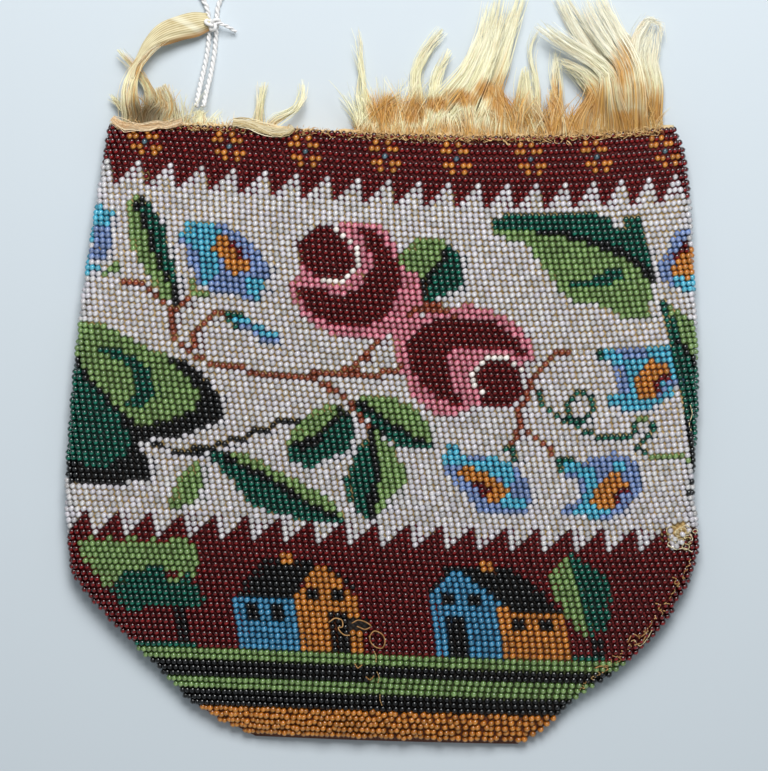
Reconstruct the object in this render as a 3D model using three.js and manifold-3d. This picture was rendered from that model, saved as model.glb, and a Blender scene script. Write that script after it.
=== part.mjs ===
// Bead-knitted reticule, lying on its back on a table with its mouth towards +Y.
// Millimetres, +Z up. The origin is on the table, under the middle of the bag.
import * as THREE from 'three';
import { mergeVertices } from 'three/addons/utils/BufferGeometryUtils.js';
import Module from 'manifold-3d';

// Bag, as it lies
const BAG_WIDTH = 175;          // across the widest line of each side fold
const MOUTH_HEIGHT = 83.5;      // mouth rim above the origin, along Y at the left edge
const BASE_HEIGHT = -84.6;      // base seam, along Y at the left edge
const CROWN = 11.5;             // thickness of the filled-out bag
const MOUTH_CROWN = 10.8;       // thickness at the mouth
const BASE_CROWN = 5;           // thickness at the base seam
const BASE_TAPER = 51;          // length over which the bag thins towards its base
const BASE_ROLL = 8.7;          // length over which the base seam rolls under
const ROLL_SHARE = 0.7;         // how far it rolls
const MOUTH_TAPER = 40;         // length over which it flattens towards its mouth
const FOLD_LEVEL = 0.36;        // height of the side folds, as a share of the thickness
const FLAT_SHARE = 0.62;        // share of the half width that lies flat on the table
const PRESSED_SHARE = 0.35;     // share of it where the bead courses are pressed level
const CROWN_POWER = 2.6;        // fullness of the front's cross section

// Bead courses
const COURSE_RELIEF = 0.8;      // depth of the groove between two rows of beads
// Share of the way from mouth to base where a row lies, as [share, row]: rows are crowded at the mouth
const COURSE_SHARE = [[0, 0], [0.031, 4], [0.104, 12], [0.249, 28], [0.4765, 52], [0.7005, 76], [1, 107]];
// Lie of the rows, as [length, y of the row's left end]: the drop to its right end, its sag at the
// middle, and how much further it sags on the right than on the left
const COURSE_DROP = [
  [0.8, 83.5], [2.9, 78], [4.9, 66], [5.8, 35], [5.6, 3], [4, -31], [4.2, -60], [2.2, -84.6],
];
const COURSE_SAG = [
  [2.5, 83.5], [3.9, 78], [3.4, 60], [3.8, 35], [3.3, 16], [1.3, -22], [0, -60], [0.3, -84.6],
];
const COURSE_SWING = [[2.6, 83.5], [1.7, 30], [2, -22], [0.9, -50], [0, -84.6]];

// Walls and seams
const BEADED_WALL = 1.8;        // glass beads with the knitted silk behind them
const LINING_WALL = 0.5;
const SEWN_GAP = 0.3;           // clearance between pieces that are sewn together
const FOLD_DRAW = 3;            // how much further an inner layer draws in at the sharp side folds
const SEAM_DEPTH = 6;           // solid seam allowance inside the base
const FLOOR_GAP = 0.8;          // slack under the lining's floor
const INNER_STEPS = 18;         // stations along the smooth inner faces

// Silk heading
const HEM_INSET = 0.5;          // how far the hem stands in from the beads
const HEM_HEIGHT = 1.8;
const LOCK_THICKNESS = 1.6;     // a lock of torn silk, at its root
const LOCK_TIP_THICKNESS = 0.8;
const LOCK_STEP = 4;            // length between two stations of a lock

// White string tied round the torn silk
const STRING_DIAMETER = 1.4;
const STRING_STEPS = 38;
const KNOT_LENGTH = 4.4;
const KNOT_WIDTH = 3.6;
const KNOT_HEIGHT = 2.4;

// Side folds of the bag, from the mouth to the base, as [in from the widest line, y]
const LEFT_EDGE = [
  [11.5, 84], [7.4, 59], [3.3, 30], [0.8, 5], [0.2, -29],
  [2.3, -41], [9.2, -49.5], [25.4, -66], [38.4, -78], [47, -82.5], [51, -84.6],
];
const RIGHT_EDGE = [
  [6.6, 83], [4.4, 78], [3.2, 71], [1.5, 45], [0.3, 8], [1.3, -18], [0.2, -32],
  [2.5, -41], [7.2, -50], [13.2, -58], [22, -66], [33.6, -74], [42.8, -82.5], [49, -86.8],
];

// Locks of torn silk: the layer each hangs from, its root's share along the mouth, its widths evenly
// from root to tip, and its way from the root as [across, above the rim, over the table]
const LOCKS = [
  {
    layer: 'front', along: 0.013, widths: [4.4, 4.2, 2.2, 4.8, 4.4],
    way: [[-0.8, 7.2, 8], [0.2, 14.8, 6], [3.8, 21, 5], [9.4, 25.6, 4], [14.3, 27.4, 3], [17.9, 28, 2.4]],
  },
  {
    layer: 'back', along: 0.036, widths: [4.4, 2.4, 0.8, 0.4],
    way: [[1.4, 6.6, 2.2], [-0.8, 13.2, 2.4], [-4.4, 17.6, 2.6], [-8, 21.2, 2.6]],
  },
  {
    layer: 'front', along: 0.058, widths: [6.6, 5.6, 2],
    way: [[1.6, 5, 7.5], [1.6, 9, 5.8], [0.8, 11.4, 4.8]],
  },
  { layer: 'back', along: 0.007, widths: [1.8, 1.2, 0.4], way: [[-3.4, 5.8, 2], [-6.3, 9.4, 1.6]] },
  { layer: 'front', along: 0.136, widths: [3, 3, 3], way: [[0.2, 5.1, 6.8]] },
  { layer: 'back', along: 0.247, widths: [4, 2.6, 0.6], way: [[0.4, 6.6, 2], [0.8, 13.6, 1.5]] },
  {
    layer: 'front', along: 0.273, widths: [2.8, 2.2, 2, 0.6],
    way: [[2.8, 4.1, 7.5], [6.6, 6.6, 6], [8.5, 10.5, 4], [8.2, 14.6, 2.6]],
  },
  {
    layer: 'back', along: 0.456, widths: [3, 2.6, 1.6, 0.5],
    way: [[-1.4, 9.3, 2], [-2, 18, 1.6], [-4, 29.8, 1.4]],
  },
  { layer: 'front', along: 0.487, widths: [9, 6, 2], way: [[0.6, 5.5, 7], [1.6, 11, 5]] },
  { layer: 'front', along: 0.535, widths: [7, 5, 2], way: [[0.6, 5.5, 7.4], [1, 10.5, 5]] },
  {
    layer: 'back', along: 0.548, widths: [3.3, 3, 2.4, 0.8],
    way: [[0.3, 9, 2.2], [-0.3, 18.6, 2], [2.8, 24.6, 1.8], [6.9, 29.6, 1.6]],
  },
  {
    layer: 'front', along: 0.574, widths: [2.8, 2.4, 0.8],
    way: [[0.3, 11.2, 6.6], [1.7, 18.7, 4], [4.8, 24.4, 2.6]],
  },
  {
    layer: 'front', along: 0.591, widths: [13, 10.5, 8, 6, 4.6],
    way: [
      [1.4, 5, 8], [5, 10.4, 7.2], [9.2, 16.6, 6], [12.9, 25.6, 4.4], [15.7, 36.6, 3], [16.2, 39.8, 2.8],
    ],
  },
  {
    layer: 'back', along: 0.645, widths: [7, 6, 3.6, 2.4],
    way: [[3.9, 11.3, 2.4], [7.4, 20.1, 2.4], [10.2, 28.3, 2.2], [13.2, 36.6, 2], [14, 39.4, 1.8]],
  },
  { layer: 'front', along: 0.69, widths: [11, 8, 3], way: [[0.6, 7, 7.6], [0.8, 15, 5.4]] },
  { layer: 'back', along: 0.742, widths: [7, 5, 2], way: [[0.8, 9, 2.4], [1.4, 20, 2]] },
  {
    layer: 'back', along: 0.772, widths: [1.6, 1, 0.8, 0.4],
    way: [[0.3, 13.5, 2], [-0.5, 27, 1.5], [2.2, 32, 1.4]],
  },
  { layer: 'front', along: 0.808, widths: [5, 3.4, 1], way: [[0, 7, 6.8], [-0.6, 14, 4.4]] },
  { layer: 'back', along: 0.814, widths: [2, 1.6, 0.5], way: [[0.3, 12, 2], [-1, 24.6, 1.5]] },
  { layer: 'front', along: 0.862, widths: [9, 6, 3], way: [[1.6, 7.5, 7.4], [3.8, 14, 6]] },
  {
    layer: 'back', along: 0.872, widths: [3, 2.6, 1.6, 0.6],
    way: [[1.6, 9.5, 2.2], [-2.6, 16.8, 2], [-7.4, 21.8, 1.8]],
  },
  {
    layer: 'front', along: 0.914, widths: [9, 6, 4, 3.2, 3, 2.6],
    way: [[-0.8, 10.2, 7.6], [-1.4, 17, 6.8], [-5, 20.4, 6.2], [-11.6, 24.8, 5.6], [-19.5, 30.8, 4.6]],
  },
  {
    layer: 'back', along: 0.93, widths: [8, 6, 5, 5, 4],
    way: [[-2.8, 15, 2.6], [-6.3, 22.6, 2.4], [-10.7, 29.4, 2.2], [-15.3, 38.4, 2]],
  },
  {
    layer: 'front', along: 0.952, widths: [8, 7, 7, 8.5, 8],
    way: [[0, 12.5, 6.6], [-1.2, 19, 6], [-5.6, 26.5, 5], [-10, 34.9, 4], [-11.2, 38.6, 3.6]],
  },
  {
    layer: 'back', along: 0.985, widths: [6, 5, 5.6, 6, 3],
    way: [[0.8, 13, 2.6], [-0.8, 20.6, 2.8], [0.3, 25.8, 3], [1.7, 30.5, 3.2]],
  },
  {
    layer: 'back', along: 0.978, widths: [4, 4.6, 4, 2.4],
    way: [[0.4, 12, 2.6], [-1.2, 18.4, 2.8], [-3.7, 24, 3], [-7.3, 28, 3.2]],
  },
];

// Way of the string: up out of the silk, round its loop and back
const STRING_WAY = [
  [-49.4, 88.9, 6.6], [-48.7, 93, 4.2], [-47.6, 98, 2.2], [-46.6, 104, 1.2], [-46, 111.5, 0.8],
  [-45.6, 117, 0.8], [-44.2, 121, 0.8], [-44.6, 124, 0.8], [-47.2, 125.6, 0.8], [-50, 124.2, 0.8],
  [-50.6, 121, 0.8], [-48.8, 117, 0.8], [-48.1, 111.5, 0.8], [-48.6, 104, 1.2], [-49.8, 98, 2.2],
  [-50.8, 93, 4.2], [-51.4, 88.9, 6.6],
];
const KNOT_PLACE = [-47, 112];
const KNOT_TAIL = [[-45.2, 112, 3.2], [-43, 111.4, 2.4], [-40.6, 110, 1.2]];

// Where each point of a cross section lies: share of the half width, on the front or the back
const FRONT_SHARES = [-1, -0.97, -0.88, -0.7, -0.4, 0, 0.4, 0.7, 0.88, 0.97, 1];
const BACK_SHARES = [0.9, FLAT_SHARE, PRESSED_SHARE, -PRESSED_SHARE, -FLAT_SHARE, -0.9];

const { lerp, clamp } = THREE.MathUtils;
const wasm = await Module();
wasm.setup();

// Value at a place, smooth through points given in order as [value, place] and level beyond their ends
function smoothAt(points, place) {
  const way = Math.sign(points.at(-1)[1] - points[0][1]);
  let i = 0;
  while (i < points.length - 2 && way * (place - points[i + 1][1]) > 0) i += 1;
  const slope = (a, b) => (b[0] - a[0]) / (b[1] - a[1]);
  const [p, q] = [points[i], points[i + 1]];
  const along = slope(p, q);
  const slopeIn = i > 0 ? (slope(points[i - 1], p) + along) / 2 : along;
  const slopeOut = i < points.length - 2 ? (along + slope(q, points[i + 2])) / 2 : along;
  const span = q[1] - p[1];
  const t = clamp((place - p[1]) / span, 0, 1);
  const u = 1 - t;
  const straight = p[0] * u * u * (1 + 2 * t) + q[0] * t * t * (1 + 2 * u);
  return straight + span * t * u * (slopeIn * u - slopeOut * t);
}

// Height of a row's left end
function courseHeight(course) {
  return lerp(MOUTH_HEIGHT, BASE_HEIGHT, smoothAt(COURSE_SHARE, course));
}

// Thickness of the bag at a height
function crownAt(height) {
  const base = clamp((height - BASE_HEIGHT) / BASE_TAPER, 0, 1);
  const mouth = clamp((MOUTH_HEIGHT - height) / MOUTH_TAPER, 0, 1);
  const filled = lerp(MOUTH_CROWN, CROWN, mouth * (2 - mouth));
  const rolled = clamp(1 - (height - BASE_HEIGHT) / BASE_ROLL, 0, 1);
  return lerp(BASE_CROWN, filled, Math.sin(base * Math.PI / 2)) * Math.sqrt(1 - ROLL_SHARE * rolled * rolled);
}

// One row's cross section, set in from the outer face and drawn in at the side folds;
// a pressed row keeps its underside on the table
function bagRing(height, inset, drawn = inset * FOLD_DRAW, pressed = false) {
  const rightHeight = height - smoothAt(COURSE_DROP, height);
  const sagAtMiddle = smoothAt(COURSE_SAG, height);
  const swing = smoothAt(COURSE_SWING, height);
  const left = smoothAt(LEFT_EDGE, height) + drawn - BAG_WIDTH / 2;
  const right = BAG_WIDTH / 2 - smoothAt(RIGHT_EDGE, rightHeight) - drawn;
  const top = crownAt(height) - inset;
  const fold = lerp(inset, top, FOLD_LEVEL);
  const place = (share, z) => {
    const across = (share + 1) / 2;
    const sag = 4 * across * (1 - across) * (sagAtMiddle + swing * share);
    return new THREE.Vector3(lerp(left, right, across), lerp(height, rightHeight, across) - sag, z);
  };
  const front = FRONT_SHARES.map((share) => {
    const rise = Math.sqrt(Math.max(0, 1 - Math.abs(share) ** CROWN_POWER));
    return place(share, lerp(fold, top, rise));
  });
  const back = BACK_SHARES.map((share) => {
    const beyond = clamp((Math.abs(share) - FLAT_SHARE) / (1 - FLAT_SHARE), 0, 1);
    const underside = pressed && Math.abs(share) <= PRESSED_SHARE ? 0 : inset;
    return place(share, lerp(underside, fold, 1 - Math.sqrt(1 - beyond * beyond)));
  });
  return [...front, ...back];
}

// Closed solid through rings of points, with a fan over its first and last ring
function loft(rings) {
  const count = rings[0].length;
  const corners = rings.flat();
  const triangles = [];
  for (let r = 0; r < rings.length - 1; r += 1) {
    for (let i = 0; i < count; i += 1) {
      const [a, b] = [r * count + i, r * count + (i + 1) % count];
      triangles.push(a, b, b + count, a, b + count, a + count);
    }
  }
  const cap = (ring, first, flip) => {
    const hub = ring.reduce((sum, p) => sum.add(p), new THREE.Vector3()).divideScalar(count);
    const middle = corners.push(hub) - 1;
    for (let i = 0; i < count; i += 1) {
      const [a, b] = [first + i, first + (i + 1) % count];
      triangles.push(...(flip ? [b, a, middle] : [a, b, middle]));
    }
  };
  cap(rings[0], 0, true);
  cap(rings.at(-1), (rings.length - 1) * count, false);
  const geometry = new THREE.BufferGeometry();
  geometry.setAttribute('position', new THREE.Float32BufferAttribute(corners.flatMap((p) => p.toArray()), 3));
  geometry.setIndex(triangles);
  return turnedOut(geometry);
}

// The same faces, pointing out of the solid
function turnedOut(geometry) {
  const index = geometry.getIndex();
  const position = geometry.getAttribute('position');
  const [a, b, c] = [new THREE.Vector3(), new THREE.Vector3(), new THREE.Vector3()];
  let volume = 0;
  for (let i = 0; i < index.count; i += 3) {
    a.fromBufferAttribute(position, index.getX(i));
    b.fromBufferAttribute(position, index.getX(i + 1));
    c.fromBufferAttribute(position, index.getX(i + 2));
    volume += a.dot(b.cross(c));
  }
  if (volume < 0) index.array.reverse();
  return geometry;
}

function solidOf(geometry) {
  const bare = geometry.clone();
  bare.deleteAttribute('normal');
  bare.deleteAttribute('uv');
  const merged = mergeVertices(bare, 1e-4);
  return new wasm.Manifold(new wasm.Mesh({
    numProp: 3,
    vertProperties: new Float32Array(merged.getAttribute('position').array),
    triVerts: new Uint32Array(merged.getIndex().array),
  }));
}

function geometryOf(solid) {
  const mesh = solid.getMesh();
  const geometry = new THREE.BufferGeometry();
  geometry.setAttribute('position', new THREE.Float32BufferAttribute(mesh.vertProperties, 3));
  geometry.setIndex([...mesh.triVerts]);
  return geometry;
}

// Even heights from one end to the other, both included
function stations(from, to, steps) {
  return Array.from({ length: steps + 1 }, (_, i) => lerp(from, to, i / steps));
}

const floorHeight = BASE_HEIGHT + SEAM_DEPTH;
const innerHeights = stations(MOUTH_HEIGHT, floorHeight, INNER_STEPS);
const liningInset = BEADED_WALL + SEWN_GAP;
const cavityInset = liningInset + LINING_WALL;

// Knitted bag: a ridge of beads for each row outside, smooth inside, open at the mouth
function beadedBody() {
  const rows = COURSE_SHARE.at(-1)[1];
  const ridge = (course) => bagRing(courseHeight(course), 0, 0, true);
  const groove = (course) => bagRing(courseHeight(course), COURSE_RELIEF, COURSE_RELIEF, true);
  const outside = [groove(rows)];
  for (let course = rows - 1; course > 0; course -= 1) {
    outside.push(ridge(course), groove(course > 1 ? course - 0.5 : 0));
  }
  const inside = innerHeights.map((height) => bagRing(height, BEADED_WALL));
  return loft([...outside, ...inside]);
}

// Silk pouch sewn into the bag at its mouth, with its floor on the base seam
function silkLining() {
  const underside = floorHeight + FLOOR_GAP;
  const outside = [...innerHeights.slice(0, -1), underside].reverse();
  const inside = [...innerHeights.slice(0, -1), underside + LINING_WALL];
  return loft([
    ...outside.map((height) => bagRing(height, liningInset)),
    ...inside.map((height) => bagRing(height, cavityInset)),
  ]);
}

// Middle of the hem's front or back layer at a share of the way along the mouth
function hemPoint(along, layer) {
  const height = MOUTH_HEIGHT + SEWN_GAP + HEM_HEIGHT / 2;
  const ring = bagRing(height, (HEM_INSET + cavityInset) / 2);
  const side = layer === 'front'
    ? ring.slice(0, FRONT_SHARES.length)
    : ring.slice(FRONT_SHARES.length).reverse();
  const x = lerp(ring[0].x, ring[FRONT_SHARES.length - 1].x, along);
  let i = 0;
  while (i < side.length - 2 && x > side[i + 1].x) i += 1;
  return side[i].clone().lerp(side[i + 1], (x - side[i].x) / (side[i + 1].x - side[i].x));
}

// A lock of torn silk: a flat tapering strand along its way
function silkLock({ layer, along, widths, way }) {
  const root = hemPoint(along, layer);
  const rim = root.y - HEM_HEIGHT / 2 - SEWN_GAP;
  const out = root.clone().add(new THREE.Vector3(0, HEM_HEIGHT, 0));
  const rest = way.map(([across, above, z]) => new THREE.Vector3(root.x + across, rim + above, z));
  const spine = new THREE.CatmullRomCurve3([root, out, ...rest]);
  const widthPlaces = widths.map((width, i) => [width, i / (widths.length - 1)]);
  const up = new THREE.Vector3(0, 0, 1);
  const steps = Math.ceil(spine.getLength() / LOCK_STEP);
  const rings = stations(0, 1, steps).map((t) => {
    const centre = spine.getPointAt(t);
    const across = new THREE.Vector3().crossVectors(spine.getTangentAt(t), up).normalize();
    const width = smoothAt(widthPlaces, t);
    const thickness = lerp(LOCK_THICKNESS, LOCK_TIP_THICKNESS, t);
    return [[-width, 0], [0, thickness], [width, 0], [0, -thickness]].map(([wide, high]) => (
      centre.clone().addScaledVector(across, wide / 2).addScaledVector(up, high / 2)
    ));
  });
  return loft(rings);
}

// Hem along the mouth with all that is left of the torn silk above it, in one piece
function silkHeading() {
  const low = MOUTH_HEIGHT + SEWN_GAP;
  const high = low + HEM_HEIGHT;
  const outside = loft([bagRing(low, HEM_INSET), bagRing(high, HEM_INSET)]);
  const past = HEM_HEIGHT;
  const inside = loft([bagRing(low - past, cavityInset), bagRing(high + past, cavityInset)]);
  const hem = solidOf(outside).subtract(solidOf(inside));
  return geometryOf(LOCKS.reduce((torn, lock) => torn.add(solidOf(silkLock(lock))), hem));
}

function roundSection(radius, sides) {
  const section = new THREE.Shape();
  for (let i = 0; i < sides; i += 1) {
    const angle = (i / sides) * 2 * Math.PI;
    const corner = [radius * Math.cos(angle), radius * Math.sin(angle)];
    if (i) section.lineTo(...corner);
    else section.moveTo(...corner);
  }
  return section;
}

function cordAlong(points, steps) {
  const extrudePath = new THREE.CatmullRomCurve3(points.map((p) => new THREE.Vector3(...p)));
  return new THREE.ExtrudeGeometry(roundSection(STRING_DIAMETER / 2, 8), { steps, extrudePath });
}

// Knot on top of the two strands, with its cut end
function tieKnot() {
  const seat = STRING_DIAMETER + SEWN_GAP;
  const lump = new THREE.SphereGeometry(0.5, 10, 8);
  lump.scale(KNOT_LENGTH, KNOT_WIDTH, KNOT_HEIGHT);
  lump.translate(...KNOT_PLACE, seat + KNOT_HEIGHT / 2);
  return geometryOf(solidOf(lump).add(solidOf(cordAlong(KNOT_TAIL, 6))));
}

const reticule = new THREE.Group();

function addPiece(name, geometry, color, roughness) {
  const piece = new THREE.Mesh(geometry, new THREE.MeshStandardMaterial({ color, roughness, metalness: 0 }));
  piece.name = name;
  reticule.add(piece);
}

addPiece('beaded_body', beadedBody(), 0xb9a9a6, 0.3);
addPiece('silk_lining', silkLining(), 0xe6d5ac, 0.7);
addPiece('silk_heading', silkHeading(), 0xe9d9b0, 0.6);
addPiece('tie_string', cordAlong(STRING_WAY, STRING_STEPS), 0xf4f3f0, 0.8);
addPiece('tie_knot', tieKnot(), 0xf4f3f0, 0.8);

export default reticule;
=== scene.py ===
# %% [markdown]
# # A bead-knitted reticule
#
# A reticule is a small drawstring purse. This one was knitted round and round in silk, with one glass
# bead slid into every stitch, so its picture is a chart of beads: a hundred stitches wide, and there
# twice round the tube, once on the front and once on the back. The silk above the beads has torn into
# locks, and the drawstring is gone. We lay the purse on a pale table and look straight down on it.
#
# The solid parts come from the packed model. Here each of them gets its real surface: bead by bead,
# fibre by fibre.

# %% Load the packed part
import math

import bpy
import numpy as np
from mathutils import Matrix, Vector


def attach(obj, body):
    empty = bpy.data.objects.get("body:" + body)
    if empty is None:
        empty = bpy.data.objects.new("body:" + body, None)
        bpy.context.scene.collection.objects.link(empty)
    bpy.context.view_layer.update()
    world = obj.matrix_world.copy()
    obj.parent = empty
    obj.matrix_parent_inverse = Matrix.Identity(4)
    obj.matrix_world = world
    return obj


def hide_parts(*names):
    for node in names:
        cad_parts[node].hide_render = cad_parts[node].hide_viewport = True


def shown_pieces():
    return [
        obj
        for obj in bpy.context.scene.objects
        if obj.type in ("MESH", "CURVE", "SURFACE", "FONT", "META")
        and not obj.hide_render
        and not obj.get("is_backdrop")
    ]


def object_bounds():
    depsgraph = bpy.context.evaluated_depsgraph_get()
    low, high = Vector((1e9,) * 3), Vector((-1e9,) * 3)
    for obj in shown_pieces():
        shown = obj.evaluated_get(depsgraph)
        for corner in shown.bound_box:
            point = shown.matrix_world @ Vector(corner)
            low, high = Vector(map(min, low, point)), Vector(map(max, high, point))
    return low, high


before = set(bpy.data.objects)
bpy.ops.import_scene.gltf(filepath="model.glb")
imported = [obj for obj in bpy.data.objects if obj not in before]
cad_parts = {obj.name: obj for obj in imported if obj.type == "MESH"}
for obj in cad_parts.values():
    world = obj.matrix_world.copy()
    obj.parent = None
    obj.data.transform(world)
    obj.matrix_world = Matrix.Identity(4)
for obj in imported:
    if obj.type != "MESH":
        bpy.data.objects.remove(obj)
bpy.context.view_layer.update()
print("nodes:", sorted(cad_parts))

# %% [markdown]
# ## Camera
#
# The picture was taken from straight above. One picture point covers 0.275 mm of the table, and the
# origin of the part lies a little below the middle of the picture. A long lens keeps the rim and the
# base equally large, as they are in the picture.

# %% Camera over the table
MM = 0.001
POINT = 0.275 * MM
PICTURE_WIDE = 768
PICTURE_HIGH = 771
ORIGIN_ACROSS = 383
ORIGIN_DOWN = 430
CAMERA_UP = 0.9
CAMERA_LEVEL = 6 * MM
SENSOR = 36


def from_picture(across, down):
    """Place on the table, in metres, of a point of the picture."""
    return (across - ORIGIN_ACROSS) * POINT, (ORIGIN_DOWN - down) * POINT


camera = bpy.data.objects.new("camera", bpy.data.cameras.new("camera"))
bpy.context.scene.collection.objects.link(camera)
bpy.context.scene.camera = camera
middle_x, middle_y = from_picture(PICTURE_WIDE / 2, PICTURE_HIGH / 2)
camera.location = (middle_x, middle_y, CAMERA_UP)
camera.data.sensor_width = SENSOR
camera.data.lens = SENSOR * (CAMERA_UP - CAMERA_LEVEL) / (PICTURE_HIGH * POINT)
bpy.context.scene.view_settings.view_transform = "Standard"
print(f"camera {CAMERA_UP} m up with a {camera.data.lens:.0f} mm lens")

# %% [markdown]
# ## Lines through measured places
#
# Much of the purse was measured at a few places only: the string at its bends, the folds at some courses.
# A curve object could join such places, but its points don't come in even steps, and even steps are what
# beads and fibres need. `smooth` reads a value between measured places, and `along` walks a line through
# points in even steps.

# %% Smooth lines
def smooth(measured, at):
    """Value at each place of a line that was measured at a few places, smooth through them."""
    place, value = np.array(sorted(measured), float).T
    slope = np.gradient(value, place)
    at = np.clip(at, place[0], place[-1])
    i = np.clip(np.searchsorted(place, at) - 1, 0, len(place) - 2)
    step = place[i + 1] - place[i]
    t = (at - place[i]) / step
    rise = value[i + 1] - value[i]
    bend = t * (1 - t) * ((slope[i] * step - rise) * (1 - t) - (slope[i + 1] * step - rise) * t)
    return value[i] + rise * t + bend


def length_gone(way):
    """Length from the start of a line to each of its points."""
    return np.r_[0, np.cumsum(np.linalg.norm(np.diff(way, axis=0), axis=1))]


def along(way, steps):
    """Evenly many points on a smooth line through a few points."""
    way = np.array(way, float)
    gone = length_gone(way)
    at = np.linspace(0, gone[-1], steps)
    return np.stack([smooth(list(zip(gone, way[:, k])), at) for k in range(way.shape[1])], axis=1)


print("half way from 1 to 4 on a curve:", round(float(smooth([(0, 0), (1, 1), (2, 4)], 1.5)), 2))

# %% [markdown]
# ## Pieces and tubes
#
# A purse is thousands of beads and threads. They could be modelled one by one and copied as objects, but
# meshes worked out in arrays are far quicker and make one piece of each colour. `add_piece` turns points
# and triangles into a piece that rides on the part. `tube` winds a round skin along many lines at once,
# which is how string and threads are made.

# %% Pieces and tubes
def add_piece(name, points, triangles, look, cells=None):
    """A smooth piece of the purse that rides on the part; cells are its corners on the bake sheet."""
    mesh = bpy.data.meshes.new(name)
    mesh.vertices.add(len(points))
    mesh.vertices.foreach_set("co", np.ascontiguousarray(points, np.float32).ravel())
    mesh.loops.add(triangles.size)
    mesh.loops.foreach_set("vertex_index", np.ascontiguousarray(triangles, np.int32).ravel())
    mesh.polygons.add(len(triangles))
    mesh.polygons.foreach_set("loop_start", np.arange(0, triangles.size, 3, dtype=np.int32))
    mesh.polygons.foreach_set("use_smooth", np.ones(len(triangles), bool))
    if cells is not None:
        sheet = mesh.uv_layers.new(name="OFBake")
        sheet.data.foreach_set("uv", np.ascontiguousarray(cells, np.float32).ravel())
    mesh.update(calc_edges=True)
    mesh.materials.append(look)
    piece = bpy.data.objects.new(name, mesh)
    bpy.context.scene.collection.objects.link(piece)
    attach(piece, "root")
    return piece


def unit(ways):
    """The same directions, each one long."""
    return ways / np.linalg.norm(ways, axis=-1, keepdims=True)


def cross_ways(lines):
    """The level way and the upright way across each point of many lines."""
    ahead = np.gradient(lines, axis=1)
    ahead /= np.linalg.norm(ahead, axis=2, keepdims=True) + 1e-12
    level = unit(np.cross(ahead, [0.0, 0.0, 1.0]) + [1e-6, 0, 0])
    return level, np.cross(level, ahead)


def tube(lines, radii, sides):
    """Closed tubes along many lines: points and triangles, from lines of one count of points."""
    count, steps, _ = lines.shape
    level, lift = cross_ways(lines)
    angle = np.arange(sides) * 2 * math.pi / sides
    ring = level[:, :, None] * np.cos(angle)[:, None] + lift[:, :, None] * np.sin(angle)[:, None]
    points = lines[:, :, None] + ring * radii[:, :, None, None]
    first = np.arange(count)[:, None, None] * steps * sides
    i, j = np.meshgrid(np.arange(steps - 1), np.arange(sides), indexing="ij")
    a, b = i * sides + j, i * sides + (j + 1) % sides
    skin = np.stack([a, b, b + sides, a, b + sides, a + sides], axis=-1).reshape(-1, 3)
    fan = np.array([[0, k + 1, k] for k in range(1, sides - 1)])
    last = fan[:, ::-1] + (steps - 1) * sides
    triangles = (first + np.concatenate([skin, fan, last])[None]).reshape(-1, 3)
    return points.reshape(-1, 3), triangles


straight = np.array([[(0.0, 0.0, 0.0), (0.0, 1.0, 0.0)]])
print("a straight tube of six sides has", len(tube(straight, np.ones((1, 2)), 6)[1]), "triangles")

# %% [markdown]
# ## A socket that does arithmetic
#
# A finish, such as stained silk or lit glass, is a tree of nodes. It could be wired by hand in the shader
# editor, but written out that is long and hard to read back. So one small class wraps a node's output: plus
# and times make maths nodes, `mix` blends two colours, and `node` adds any other kind.

# %% Sockets
class Socket:
    """An output in a material's node tree that can be added, multiplied and mixed."""

    def __init__(self, tree, out):
        self.tree = tree
        self.out = out

    def node(self, kind, settings=(), inputs=(), output=0):
        made = self.tree.nodes.new(kind)
        for name, value in dict(settings).items():
            setattr(made, name, value)
        for key, value in dict(inputs).items():
            self.feed(value, made.inputs[key])
        return Socket(self.tree, made.outputs[output])

    def feed(self, value, target):
        if isinstance(value, Socket):
            self.tree.links.new(value.out, target)
        else:
            target.default_value = value

    def math(self, operation, first, second):
        return self.node("ShaderNodeMath", {"operation": operation}, {0: first, 1: second})

    def __add__(self, other):
        return self.math("ADD", self, other)

    def __radd__(self, other):
        return self.math("ADD", other, self)

    def __sub__(self, other):
        return self.math("SUBTRACT", self, other)

    def __rsub__(self, other):
        return self.math("SUBTRACT", other, self)

    def __mul__(self, other):
        return self.math("MULTIPLY", self, other)

    def __rmul__(self, other):
        return self.math("MULTIPLY", other, self)

    def sine(self):
        return self.math("SINE", self, 0.0)

    def ramp(self, low, high):
        return self.node(
            "ShaderNodeMapRange",
            {"interpolation_type": "SMOOTHSTEP"},
            {"Value": self, "From Min": low, "From Max": high},
        )

    def mix(self, first, second):
        return self.node("ShaderNodeMix", {"data_type": "RGBA"}, {0: self, 6: first, 7: second}, 2)

    def vector(self, operation, inputs, output=0):
        return self.node("ShaderNodeVectorMath", {"operation": operation}, inputs, output)

    def scale(self, share):
        return self.vector("SCALE", {0: self, "Scale": share})

    def dot(self, direction):
        return self.vector("DOT_PRODUCT", {0: self, 1: direction}, "Value")

    def part(self, axis):
        return self.node("ShaderNodeSeparateXYZ", (), {0: self}, axis)


print("a socket can:", [name for name in vars(Socket) if not name.startswith("__")])

# %% [markdown]
# ## Paint
#
# A colour is easiest to judge as it is seen, but light adds up in linear numbers, so `paint` turns one into
# the other. `material` starts a finish with its roughness. Old silk and glass are never even, and a picture
# of them would repeat, so `noise` mottles a finish through the part's own space.

# %% Paint and materials
def paint(red, green, blue):
    """Linear colour for a colour as it is seen, from 0 to 255."""
    seen = np.array([red, green, blue]) / 255
    linear = np.where(seen < 0.04045, seen / 12.92, ((seen + 0.055) / 1.055) ** 2.4)
    return (*linear.tolist(), 1.0)


def material(name, roughness):
    """A new material, the shader to feed, and a first socket to build from."""
    made = bpy.data.materials.new(name)
    made.use_nodes = True
    shader = made.node_tree.nodes["Principled BSDF"]
    shader.inputs["Roughness"].default_value = roughness
    return made, shader, Socket(made.node_tree, None)


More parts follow.
